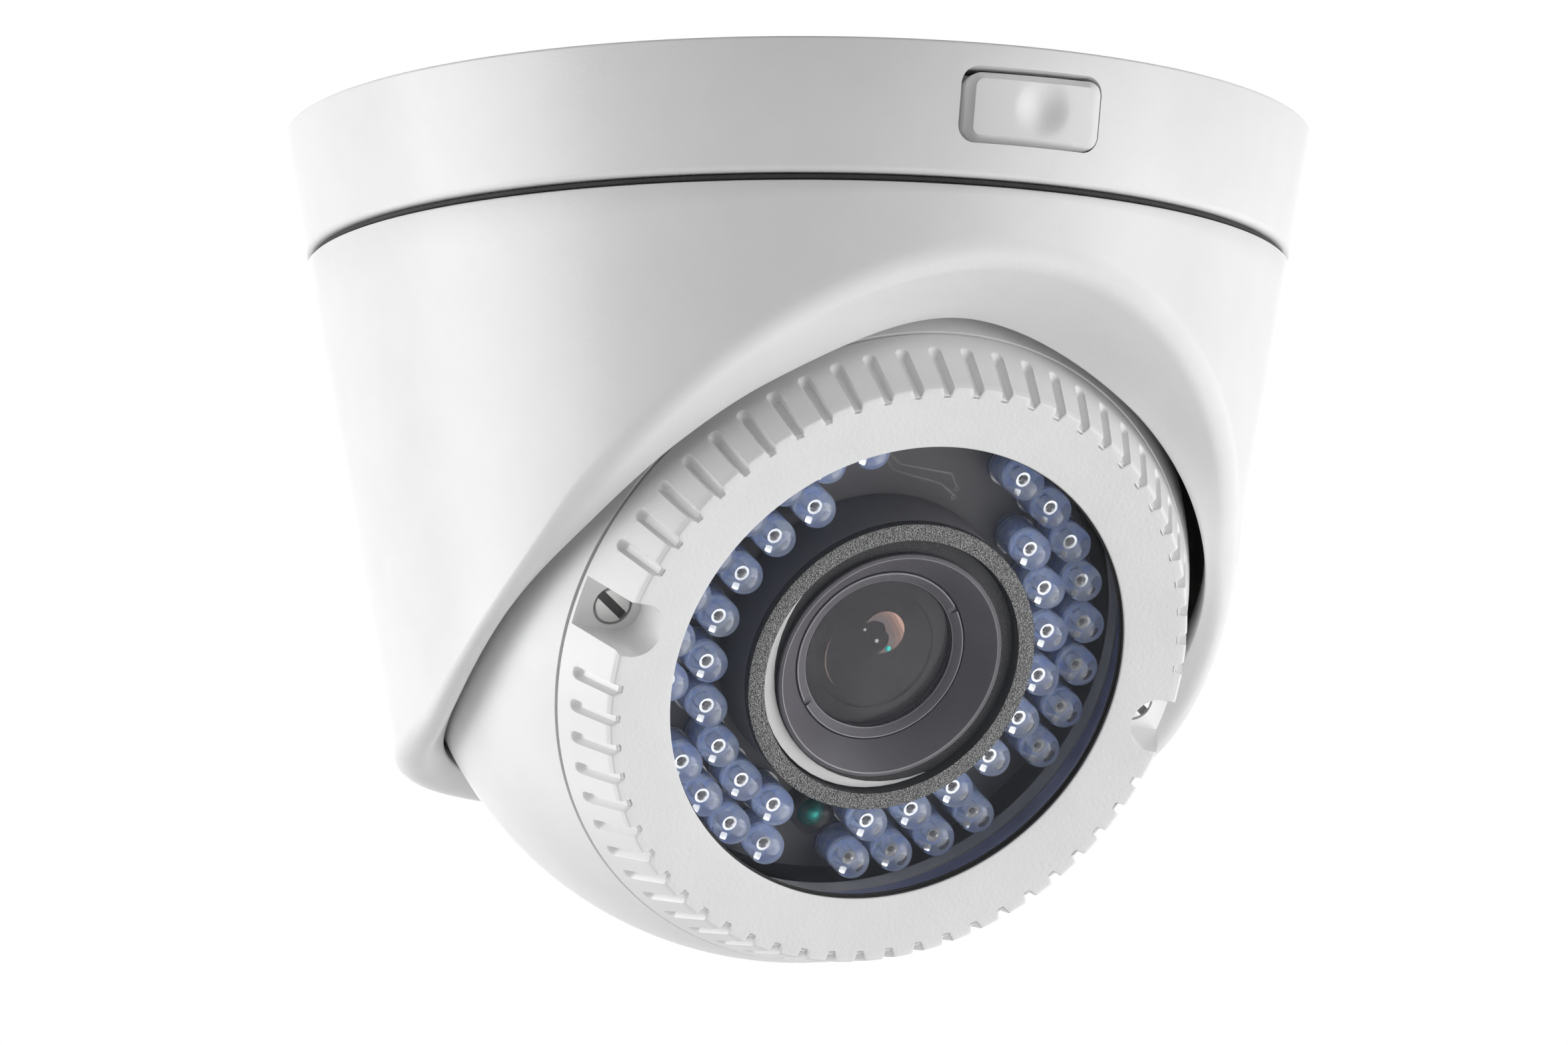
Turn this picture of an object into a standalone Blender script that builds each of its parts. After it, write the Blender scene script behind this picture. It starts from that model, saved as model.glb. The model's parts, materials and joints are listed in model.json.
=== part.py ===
"""Ceiling turret camera: base, turning shell, tilting yoke and a ball with lens and infrared lamps.

The model is sized from the lens outward. All sizes below are in millimetres.
The ceiling face is at z = 0, the lens looks towards -Y, and everything hangs below.
"""
import math

import bmesh
import bpy
from mathutils import Matrix, Vector

MM = 0.001

# Clearances
TOUCH = 0.3
SEAL_GAP = 0.2
RUN_GAP = 0.6
CUT_PAST = 1.0

# How the ball looks at rest, in degrees
BALL_TILT = 30.0
BALL_ROLL = -6.7

# Lens
LENS_R = 16.0
LENS_RIM = 2.7
LENS_EDGE = 0.4
LENS_DISH = 3.2
GLASS_R = 10.6
GLASS_T = 1.2
GLASS_BULGE = 1.8
RETAINER_W = 1.2
RETAINER_T = 0.9
LENS_HEAD = 14.1
LENS_SINK = 0.5
CORE_WALL = 2.9
FOCUS_RING_T = 4.8
ZOOM_RING_T = 4.8
RING_LIP = 1.2
LENS_TAIL = 7.5
LEVER_R = 1.5
LEVER_ANGLES = {"zoom": 40.0, "focus": 140.0}

# Foam ring, lamps and lamp board
FOAM_GAP = 1.4
FOAM_T = 2.75
FOAM_SEAT = 1.5
LED_CLEAR = 1.45
LED_R = 2.5
LED_H = 8.7
LED_ROOM = 2.0
LED_ROOT = 0.4
LED_RING_GAP = 5.2
INNER_LED_COUNT = 9
INNER_LED_FIRST = 17.0
INNER_LED_STEP = 15.1
OUTER_LED_COUNT = 13
OUTER_LED_FIRST = 12.7
OUTER_LED_STEP = 12.0
OUTER_LED_SKIPPED = 4
BOARD_T = 1.6
BOARD_EDGE = 3.9
SENSOR_H = 6.2

# Window and bezel
HOLE_MARGIN = 2.45
WINDOW_SEAT = 2.05
WINDOW_T = 0.8
GASKET_T = 0.3
WINDOW_CLIP_T = 0.8
LIP_T = 0.7
BEZEL_BORE_GAP = 0.4
BEZEL_RIM = 6.1
BEZEL_TAPER = 4.1
BEZEL_DEPTH = 8.4
BEZEL_DISH = 1.1
BEZEL_BACK = 27.0
GROOVE_PITCH = 6.0
GROOVE_W = 1.7
GROOVE_D = 0.9
GROOVE_LENGTH = 7.0
GROOVE_FLOOR = 0.6
NOTCH_GROOVES = 1.5
NOTCH_W = 7.6
NOTCH_WALL = 1.3
NOTCH_FLOOR = 1.2
NOTCH_COUNT = 2
NOTCH_ARC_STEPS = 8
SCREW_HEAD_R = 2.5
SCREW_HEAD_H = 1.7
SCREW_SHANK_R = 1.3
SCREW_LENGTH = 3.2
SLOT_W = 0.9
SLOT_D = 0.7
SLOT_TURN = 50.0

# Ball
BALL_WALL = 2.2
FLANGE_T = 2.4
SEAM_BACK = 12.0
REAR_FLAT = 36.0
REAR_WALL = 2.5
LEDGE_W = 2.3
LEDGE_T = 1.7

# Camera module behind the lens
HOLDER_LIP = 0.5
HOLDER_BORE = 10.8
HOLDER_H = 7.7
SLIDE_T = 1.2
SLIDE_HALF_W = 7.5
SLIDE_SHIFT = 15.0
SLIDE_END = 9.0
FILTER_R = 5.5
CHIP_SIZE = (12.0, 10.0)
CHIP_T = 1.2
SENSOR_BOARD_MARGIN = 2.5
SPACER_R = 2.0
SENSOR_SPACER_H = 1.9
PLATE_T = 1.6
PLATE_BORE = 6.0
POST_R = 2.4
POST_COUNT = 3
POST_FIRST = 90.0
MAIN_SPACER_H = 4.0
MAIN_BOARD_SIZE = (56.0, 44.0)

# Yoke and roll pivot
YOKE_T = 1.2
YOKE_HALF_W = 6.0
YOKE_NOSE_W = 4.4
YOKE_END = 4.5
YOKE_BENDS = 7
TRUNNION_R = 3.0
BUSH_WALL = 2.0
BUSH_T = 1.2
WASHER_T = 0.3
WASHER_W = 5.5
PIVOT_R = 8.0
PIVOT_WALL = 2.0
PIVOT_FLANGE = 3.2
PIVOT_FLANGE_T = 1.7

# Shell
SHELL_WALL = 1.6
SHELL_TAPER = 0.183
CUT_OFFSET = 23.3
CUT_BLEND = 8.0
CUT_FILLET = 5.0
FOOT_FILLET = 11.0
FOOT_DEPTH = 5.0
FILLET_ROOM = 0.7
FILLET_FROM = 50.0
FILLET_TO = 120.0
BALL_GAP = 0.6
LIP_LAND = 6.0
LIP_ELEVATIONS = (29.3, 18.2, -3.6, -21.6, -28.5, -30.0, -30.0)
ROOM_FROM = 45.0
ROOM_TO = 100.0
SHELL_COLUMNS = 48

# Base, turn ring and button
TOP_ROOM = 3.1
PLATE_ROOM_T = 2.6
BASE_H = 16.4
BASE_TAPER = 0.191
BASE_WALL = 2.6
BASE_STEP = 0.2
BASE_EDGE = 0.5
SEAM_H = 1.0
NECK_H = 4.7
NECK_WALL = 2.2
NECK_GAP = 0.9
HANG_LEDGE = 4.2
HANG_T = 2.0
RING_WALL = 2.0
RING_FLANGE = 4.0
RING_FLANGE_T = 2.0
RING_TOP_W = 5.0
RING_TOP_T = 2.5
RING_GAP = 2.0
CEILING_HOLE_R = 2.3
CEILING_HOLE_RADIUS = 38.0
CEILING_HOLE_FIRST = 30.0
RING_SCREW_FIRST = 60.0
SCREW_COUNT = 3
BLIND_FLOOR = 0.65
CABLE_HOLE_R = 8.5
CABLE_OFFSET = 34.0
GROMMET_BORE = 5.0
GROMMET_LIP = 2.3
GROMMET_LIP_T = 1.2
GROMMET_NOSE = 1.0
BUTTON_W = 18.2
BUTTON_H = 8.7
BUTTON_DROP = 3.35
BUTTON_CORNER = 1.6
BUTTON_BEVEL = 0.9
BUTTON_SINK = 0.3
BUTTON_GAP = 0.25
BUTTON_FLANGE = 1.4
BUTTON_FLANGE_T = 1.2
DIMPLE_R = 7.0
DIMPLE_D = 0.8
LATCH_W = 2.4
LATCH_H = 2.0
LATCH_DROP = 6.8
SPRING_R = 2.5
SPRING_WIRE = 0.35
SPRING_TURNS = 4
SPRING_SIDES = 4
SPRING_STEPS = 8

ROUND_STEPS = 36
INNER_STEPS = 24
PIVOT_STEPS = 20
SMALL_STEPS = 12
HEX_STEPS = 6

# Sizes that follow from the lens outward
FOAM_IN = LENS_R + FOAM_GAP
FOAM_OUT = FOAM_IN + FOAM_T
INNER_LED_R = FOAM_OUT + LED_CLEAR + LED_R
OUTER_LED_R = INNER_LED_R + LED_RING_GAP
HOLE_R = OUTER_LED_R + HOLE_MARGIN
WINDOW_R = HOLE_R + WINDOW_SEAT
BORE_R = WINDOW_R + BEZEL_BORE_GAP
BEZEL_FRONT_R = BORE_R + BEZEL_RIM
BEZEL_BACK_R = BEZEL_FRONT_R + BEZEL_TAPER
BALL_R = math.hypot(BEZEL_BACK_R, BEZEL_BACK)
BALL_IN = BALL_R - BALL_WALL

# Places along the lens axis, counted from the ball's centre
FACE_L = BEZEL_BACK + BEZEL_DEPTH
HOLE_L = FACE_L - BEZEL_DISH
LIP_L = HOLE_L - LIP_T
GASKET_L = LIP_L - SEAL_GAP
WINDOW_L = GASKET_L - GASKET_T - SEAL_GAP
WINDOW_BACK = WINDOW_L - WINDOW_T
FOAM_L = WINDOW_BACK - TOUCH
LENS_L = FOAM_L - LENS_SINK
BOARD_L = WINDOW_BACK - LED_ROOM - LED_H
BOARD_BACK = BOARD_L - BOARD_T
ZOOM_L = LENS_L - LENS_HEAD - TOUCH
FOCUS_L = ZOOM_L - ZOOM_RING_T - TOUCH
TAIL_L = FOCUS_L - FOCUS_RING_T - TOUCH
TAIL_BACK = TAIL_L - LENS_TAIL
HOLDER_L = TAIL_BACK - TOUCH
HOLDER_BACK = HOLDER_L - HOLDER_H
SENSOR_BOARD_L = HOLDER_BACK - TOUCH
SENSOR_BOARD_BACK = SENSOR_BOARD_L - BOARD_T
PLATE_L = SENSOR_BOARD_BACK - 2 * TOUCH - SENSOR_SPACER_H
PLATE_BACK = PLATE_L - PLATE_T
MAIN_BOARD_L = PLATE_BACK - 2 * TOUCH - MAIN_SPACER_H
HOLDER_R = LENS_R + HOLDER_LIP
SENSOR_BOARD_HALF = HOLDER_R + SENSOR_BOARD_MARGIN
LENS_BORE = GLASS_R - 2 * RETAINER_W
CORE_R = LENS_BORE + CORE_WALL
POST_RADIUS = (INNER_LED_R + OUTER_LED_R) / 2
SLIDE_MID = (HOLDER_L + HOLDER_BACK) / 2

# Places below the ceiling
BALL_Z = -(PLATE_ROOM_T + TOP_ROOM + BALL_R)
SHELL_TOP = -(BASE_H + SEAM_H) - BALL_Z
YOKE_IN = BALL_R + RUN_GAP
YOKE_OUT = YOKE_IN + YOKE_T
BUSH_IN = YOKE_OUT + TOUCH
BUSH_R = TRUNNION_R + BUSH_WALL
FACET = math.cos(math.pi / SHELL_COLUMNS)
FRONT_SEAT = math.hypot(BEZEL_FRONT_R, FACE_L) / FACET + RUN_GAP
BACK_SEAT = BALL_R + BALL_GAP
SHELL_IN = math.hypot(BUSH_IN + BUSH_T, BUSH_R) / FACET + SHELL_TAPER * BUSH_R + SEAL_GAP
SHELL_R = SHELL_IN + SHELL_WALL
SHELL_TOP_R = SHELL_R + SHELL_TAPER * SHELL_TOP
BASE_FOOT_R = SHELL_TOP_R + BASE_STEP
BASE_TOP_R = BASE_FOOT_R + BASE_TAPER * BASE_H
BASE_IN_R = BASE_FOOT_R - BASE_WALL
NECK_R = BASE_IN_R - NECK_GAP
NECK_IN = NECK_R - NECK_WALL
NECK_TOP = SHELL_TOP + NECK_H
HANG_R = NECK_IN - HANG_LEDGE
RING_R = HANG_R - RING_GAP
RING_IN = RING_R - RING_WALL
HANG_UNDER = NECK_TOP - HANG_T

WHITE = ("white_paint", (0.84, 0.84, 0.85), 0.42, 0.0)
WHITE_PLASTIC = ("white_plastic", (0.82, 0.82, 0.82), 0.45, 0.0)
BLACK_RUBBER = ("black_rubber", (0.03, 0.03, 0.03), 0.8, 0.0)
BLACK_PLASTIC = ("black_plastic", (0.05, 0.05, 0.055), 0.5, 0.0)
FOAM = ("grey_foam", (0.2, 0.2, 0.2), 0.95, 0.0)
CLEAR = ("clear_window", (0.85, 0.88, 0.95), 0.03, 0.0)
GLASS = ("lens_glass", (0.05, 0.05, 0.07), 0.02, 0.0)
BOARD = ("dark_board", (0.06, 0.06, 0.065), 0.5, 0.0)
BARREL = ("lens_barrel_paint", (0.12, 0.12, 0.13), 0.35, 0.0)
STEEL = ("steel", (0.6, 0.6, 0.6), 0.35, 1.0)
BRONZE = ("bronze", (0.6, 0.45, 0.25), 0.4, 1.0)
CHIP = ("chip", (0.02, 0.02, 0.025), 0.3, 0.0)
FILTER = ("filter_glass", (0.5, 0.25, 0.3), 0.05, 0.0)


def clear_scene():
    for obj in list(bpy.data.objects):
        bpy.data.objects.remove(obj, do_unlink=True)


def finish(look):
    name, colour, roughness, metallic = look
    known = bpy.data.materials.get(name)
    if known:
        return known
    made = bpy.data.materials.new(name)
    made.use_nodes = True
    shader = made.node_tree.nodes["Principled BSDF"]
    shader.inputs["Base Color"].default_value = (*colour, 1.0)
    shader.inputs["Roughness"].default_value = roughness
    shader.inputs["Metallic"].default_value = metallic
    return made


def axis_empty(name, place, parent=None):
    empty = bpy.data.objects.new(name, None)
    bpy.context.collection.objects.link(empty)
    empty.parent = parent
    empty.matrix_local = place
    return empty


def add_piece(name, points, faces, look, parent, place=None):
    """One closed mesh from points in millimetres, with its faces turned outward."""
    mesh = bpy.data.meshes.new(name)
    moved = [Vector(p) if place is None else place @ Vector(p) for p in points]
    mesh.from_pydata([p * MM for p in moved], [], faces)
    work = bmesh.new()
    work.from_mesh(mesh)
    bmesh.ops.recalc_face_normals(work, faces=work.faces)
    work.to_mesh(mesh)
    work.free()
    mesh.shade_smooth()
    mesh.set_sharp_from_angle(angle=math.radians(30))
    obj = bpy.data.objects.new(name, mesh)
    bpy.context.collection.objects.link(obj)
    obj.parent = parent
    if look:
        mesh.materials.append(finish(look))
    return obj


def boolean(target, tool, operation):
    """Cut or join with a second solid, which stays in the file as a hidden guide."""
    tool.hide_render = True
    tool.display_type = 'WIRE'
    step = target.modifiers.new(tool.name, 'BOOLEAN')
    step.operation = operation
    step.object = tool


def spin_points(profile, steps):
    """Points and faces of a closed profile of (radius, height) turned about the height axis."""
    points = []
    rings = []
    faces = []
    for k, (radius, height) in enumerate(profile):
        if radius < 1e-6:
            sides = (k - 1, (k + 1) % len(profile))
            flat = any(profile[i][0] > 1e-6 and abs(profile[i][1] - height) < 1e-6 for i in sides)
            rings.append(None if flat else [len(points)] * steps)
            points += [] if flat else [(0.0, 0.0, height)]
            continue
        rings.append(list(range(len(points), len(points) + steps)))
        for i in range(steps):
            turn = math.tau * i / steps
            points.append((radius * math.cos(turn), radius * math.sin(turn), height))
    for upper, lower in zip(rings, rings[1:] + rings[:1]):
        if upper is None or lower is None:
            cap = upper or lower
            faces += [tuple(cap)] if cap and cap[0] != cap[-1] else []
            continue
        for i in range(steps):
            j = (i + 1) % steps
            face = tuple(dict.fromkeys((upper[i], upper[j], lower[j], lower[i])))
            if len(face) > 2:
                faces.append(face)
    return points, faces


def turned(name, profile, look, parent, steps=ROUND_STEPS, place=None):
    points, faces = spin_points(profile, steps)
    return add_piece(name, points, faces, look, parent, place)


def tube_profile(inner, outer, low, high):
    if inner <= 0:
        return [(0.0, high), (outer, high), (outer, low), (0.0, low)]
    return [(inner, high), (outer, high), (outer, low), (inner, low)]


def tube(name, inner, outer, low, high, look, parent, steps=ROUND_STEPS, place=None):
    return turned(name, tube_profile(inner, outer, low, high), look, parent, steps, place)


def skin(rings):
    """Points and faces over a row of rings with equally many points, closed at both ends."""
    count = len(rings[0])
    points = [p for ring in rings for p in ring]
    faces = [tuple(range(count)), tuple(range(len(points) - count, len(points)))]
    for k in range(len(rings) - 1):
        for i in range(count):
            j = (i + 1) % count
            faces.append((k * count + i, k * count + j, (k + 1) * count + j, (k + 1) * count + i))
    return points, faces


def loft(name, rings, look, parent, place=None):
    return add_piece(name, *skin(rings), look, parent, place)


def prism(name, outline, low, high, look, parent, place=None):
    rings = [[(x, y, z) for x, y in outline] for z in (low, high)]
    return loft(name, rings, look, parent, place)


def rectangle(half_x, half_y, mid_x=0.0, mid_y=0.0):
    return [(mid_x + sx * half_x, mid_y + sy * half_y) for sx, sy in ((-1, -1), (1, -1), (1, 1), (-1, 1))]


def rounded_rectangle(half_x, half_y, corner, steps=3):
    outline = []
    for k, (sx, sy) in enumerate(((1, 1), (-1, 1), (-1, -1), (1, -1))):
        for i in range(steps + 1):
            turn = math.radians(90 * k + 90 * i / steps)
            outline.append((sx * (half_x - corner) + corner * math.cos(turn),
                            sy * (half_y - corner) + corner * math.sin(turn)))
    return outline


def arc(radius, start, stop, steps):
    """Points of (radius, height) on a ball about the origin, between two heights."""
    first, last = (math.asin(max(-1.0, min(1.0, h / radius))) for h in (start, stop))
    turns = [first + (last - first) * i / steps for i in range(steps + 1)]
    return [(radius * math.cos(t), radius * math.sin(t)) for t in turns]


def joined(name, bodies, parent):
    """One guide mesh from several separate bodies of (points, faces)."""
    points = []
    faces = []
    for body_points, body_faces in bodies:
        faces += [tuple(i + len(points) for i in face) for face in body_faces]
        points += body_points
    return add_piece(name, points, faces, None, parent)


def moved(body, place):
    points, faces = body
    return [tuple(place @ Vector(p)) for p in points], faces


def around(count, radius, first=0.0):
    """Places of a ring of equal pieces, as matrices that also turn each piece."""
    for i in range(count):
        turn = Matrix.Rotation(math.radians(first + 360.0 * i / count), 4, 'Z')
        yield turn @ Matrix.Translation((radius, 0, 0))


def shell_radius(height):
    return SHELL_R + SHELL_TAPER * height


def lip_elevation(azimuth):
    """Elevation of the opening's inner edge on the ball, smooth through the listed angles."""
    step = 180.0 / (len(LIP_ELEVATIONS) - 1)
    angle = abs((azimuth + 180.0) % 360.0 - 180.0)
    k = min(int(angle / step), len(LIP_ELEVATIONS) - 2)
    t = angle / step - k
    last = len(LIP_ELEVATIONS) - 1
    near = [min(abs(i), 2 * last - abs(i)) for i in range(k - 1, k + 3)]
    before, low, high, after = (LIP_ELEVATIONS[i] for i in near)
    bend = 2 * before - 5 * low + 4 * high - after
    return low + 0.5 * t * (high - before + t * (bend + t * (3 * (low - high) + after - before)))


def eased(azimuth, start, stop):
    """Share that rises smoothly from 0 to 1 between two angles off the front."""
    share = (abs((azimuth + 180.0) % 360.0 - 180.0) - start) / (stop - start)
    share = max(0.0, min(1.0, share))
    return share * share * (3 - 2 * share)


def rounded_corner(before, corner, after, radius, steps):
    """Arc that rounds a corner, shortened where the sides have no room for it."""
    a = Vector(before) - Vector(corner)
    b = Vector(after) - Vector(corner)
    half = a.angle(b) / 2
    reach = min(radius / math.tan(half), FILLET_ROOM * a.length, FILLET_ROOM * b.length)
    a.normalize()
    b.normalize()
    centre = Vector(corner) + (a + b).normalized() * (reach / math.cos(half))
    start = Vector(corner) + a * reach - centre
    stop = Vector(corner) + b * reach - centre
    sweep = start.angle_signed(stop)
    turns = [Matrix.Rotation(-sweep * i / steps, 2) @ start + centre for i in range(steps + 1)]
    return [tuple(p) for p in turns]


def shell_section(azimuth):
    """Closed outline of the shell in the upright plane at one azimuth from the front."""
    lean = math.cos(math.radians(azimuth))
    seat = FRONT_SEAT + (BACK_SEAT - FRONT_SEAT) * eased(azimuth, ROOM_FROM, ROOM_TO)
    tilt = math.radians(lip_elevation(azimuth))
    land = tilt + math.radians(LIP_LAND)
    edge = (seat * math.cos(tilt), seat * math.sin(tilt))
    shelf = (seat * math.cos(land), seat * math.sin(land))
    foot = BACK_SEAT * math.sin(math.radians(LIP_ELEVATIONS[-1])) - FOOT_DEPTH
    plane = (SHELL_R * lean - CUT_OFFSET * math.sqrt(2)) / (1 - SHELL_TAPER * lean)
    corner_z = (plane + foot + math.hypot(plane - foot, CUT_BLEND)) / 2
    corner = (shell_radius(corner_z), corner_z)
    radius = CUT_FILLET + (FOOT_FILLET - CUT_FILLET) * eased(azimuth, FILLET_FROM, FILLET_TO)
    top = (SHELL_TOP_R, SHELL_TOP - BASE_EDGE)
    fillet = rounded_corner(top, corner, edge, radius, 4)
    brow = SHELL_TOP - NECK_WALL
    wall_z = min(shelf[1] + FOOT_DEPTH, brow - SHELL_WALL)
    round_edge = rounded_corner(fillet[-1], edge, shelf, BALL_GAP, 1)
    outer = [(HANG_R, NECK_TOP), (NECK_R, NECK_TOP), (NECK_R, SHELL_TOP),
             (SHELL_TOP_R - BASE_EDGE, SHELL_TOP), top]
    inner = [shelf, (shell_radius(wall_z) - SHELL_WALL, wall_z),
             (shell_radius(brow) - SHELL_WALL, brow), (NECK_IN, SHELL_TOP),
             (NECK_IN, HANG_UNDER), (HANG_R, HANG_UNDER)]
    return outer + fillet + round_edge + inner


def build_shell(parent):
    points = []
    for i in range(SHELL_COLUMNS):
        azimuth = 360.0 * i / SHELL_COLUMNS
        turn = math.radians(azimuth)
        section = shell_section(azimuth)
        points += [(r * math.sin(turn), -r * math.cos(turn), z) for r, z in section]
    rows = len(points) // SHELL_COLUMNS
    faces = []
    for i in range(SHELL_COLUMNS):
        j = (i + 1) % SHELL_COLUMNS
        for k in range(rows):
            m = (k + 1) % rows
            faces.append((i * rows + k, j * rows + k, j * rows + m, i * rows + m))
    add_piece("shell", points, faces, WHITE, parent)
    across = Matrix.Rotation(math.radians(90), 4, 'Y')
    for side, sign in (("left", -1), ("right", 1)):
        low, high = sorted((sign * BUSH_IN, sign * (BUSH_IN + BUSH_T)))
        tube(f"pivot_bush_{side}", TRUNNION_R + SEAL_GAP, BUSH_R, low, high,
             BRONZE, parent, PIVOT_STEPS, across)


def base_radius(height):
    return BASE_TOP_R + BASE_TAPER * height


def button_outline(half_x, half_z, corner, mid_z, depth):
    """Ring of points across the button, at a depth that may follow the base's slope."""
    outline = rounded_rectangle(half_x, half_z, corner)
    return [(x, depth(mid_z + z), mid_z + z) for x, z in outline]


def build_base():
    foot = -BASE_H
    profile = [(0.0, 0.0), (BASE_TOP_R, 0.0), (base_radius(foot + BASE_EDGE), foot + BASE_EDGE),
               (BASE_FOOT_R - BASE_EDGE, foot), (BASE_IN_R, foot),
               (base_radius(-PLATE_ROOM_T) - BASE_WALL, -PLATE_ROOM_T), (0.0, -PLATE_ROOM_T)]
    base = turned("mounting_base", profile, WHITE, None, SHELL_COLUMNS)
    through = (-PLATE_ROOM_T - CUT_PAST, CUT_PAST)
    blind = (-PLATE_ROOM_T - CUT_PAST, -BLIND_FLOOR)
    screw_radius = RING_IN - RING_TOP_W / 2
    bodies = [moved(spin_points(tube_profile(0, CEILING_HOLE_R, *through), SMALL_STEPS), place)
              for place in around(SCREW_COUNT, CEILING_HOLE_RADIUS, CEILING_HOLE_FIRST)]
    bodies += [moved(spin_points(tube_profile(0, SCREW_SHANK_R + TOUCH, *blind), SMALL_STEPS), place)
               for place in around(SCREW_COUNT, screw_radius, RING_SCREW_FIRST)]
    cable = Matrix.Translation((0, CABLE_OFFSET, 0))
    bodies.append(moved(spin_points(tube_profile(0, CABLE_HOLE_R, *through), PIVOT_STEPS), cable))
    boolean(base, joined("base_holes", bodies, None), 'DIFFERENCE')
    mid_z = -BUTTON_DROP - BUTTON_H / 2
    window = [button_outline(BUTTON_W / 2 + BUTTON_GAP, BUTTON_H / 2 + BUTTON_GAP, BUTTON_CORNER, mid_z,
                             lambda z, y=y: y) for y in (-BASE_TOP_R - CUT_PAST, -NECK_IN)]
    boolean(base, loft("button_window", window, None, None), 'DIFFERENCE')

    ring_top = -PLATE_ROOM_T - TOUCH
    flange_top = HANG_UNDER + BALL_Z - TOUCH
    flange_foot = flange_top - RING_FLANGE_T
    ring = turned("turn_ring", [
        (RING_IN - RING_TOP_W, ring_top), (RING_R, ring_top), (RING_R, flange_top),
        (RING_R + RING_FLANGE, flange_top), (RING_R + RING_FLANGE, flange_foot), (RING_IN, flange_foot),
        (RING_IN, ring_top - RING_TOP_T), (RING_IN - RING_TOP_W, ring_top - RING_TOP_T)],
        STEEL, None)
    latch = LATCH_W / 2 + BUTTON_GAP
    slot = [[(x, y, -LATCH_DROP + z) for x, z in rectangle(latch, LATCH_H / 2 + BUTTON_GAP)]
            for y in (-RING_R - CUT_PAST, -RING_IN + CUT_PAST)]
    boolean(ring, loft("latch_slot", slot, None, None), 'DIFFERENCE')
    hole = tube_profile(0, SCREW_SHANK_R + TOUCH, ring_top - RING_TOP_T - CUT_PAST, ring_top + CUT_PAST)
    holes = [moved(spin_points(hole, SMALL_STEPS), place)
             for place in around(SCREW_COUNT, screw_radius, RING_SCREW_FIRST)]
    boolean(ring, joined("ring_holes", holes, None), 'DIFFERENCE')
    head_top = ring_top - RING_TOP_T - TOUCH
    for i, place in enumerate(around(SCREW_COUNT, screw_radius, RING_SCREW_FIRST)):
        turned(f"ring_screw_{i + 1}", [
            (0.0, -BLIND_FLOOR - TOUCH), (SCREW_SHANK_R, -BLIND_FLOOR - TOUCH),
            (SCREW_SHANK_R, head_top), (SCREW_HEAD_R, head_top),
            (SCREW_HEAD_R, head_top - SCREW_HEAD_H * 0.6), (SCREW_HEAD_R * 0.5, head_top - SCREW_HEAD_H),
            (0.0, head_top - SCREW_HEAD_H)], STEEL, None, SMALL_STEPS, place)

    seam = (foot - SEAM_H / 4, foot - 3 * SEAM_H / 4)
    tube("base_seal", NECK_R + NECK_GAP / 2, BASE_FOOT_R - 2 * BASE_EDGE, seam[1], seam[0],
         BLACK_RUBBER, None)
    neck = CABLE_HOLE_R - TOUCH
    under = -PLATE_ROOM_T - TOUCH
    nose = under - GROMMET_LIP_T - GROMMET_NOSE
    turned("cable_grommet", [
        (GROMMET_BORE, -TOUCH), (neck, -TOUCH), (neck, under), (neck + GROMMET_LIP, under),
        (neck + GROMMET_LIP, under - GROMMET_LIP_T), (GROMMET_BORE + GROMMET_NOSE, nose),
        (GROMMET_BORE, nose)],
        BLACK_RUBBER, None, PIVOT_STEPS, cable)
    build_button(mid_z)


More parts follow.
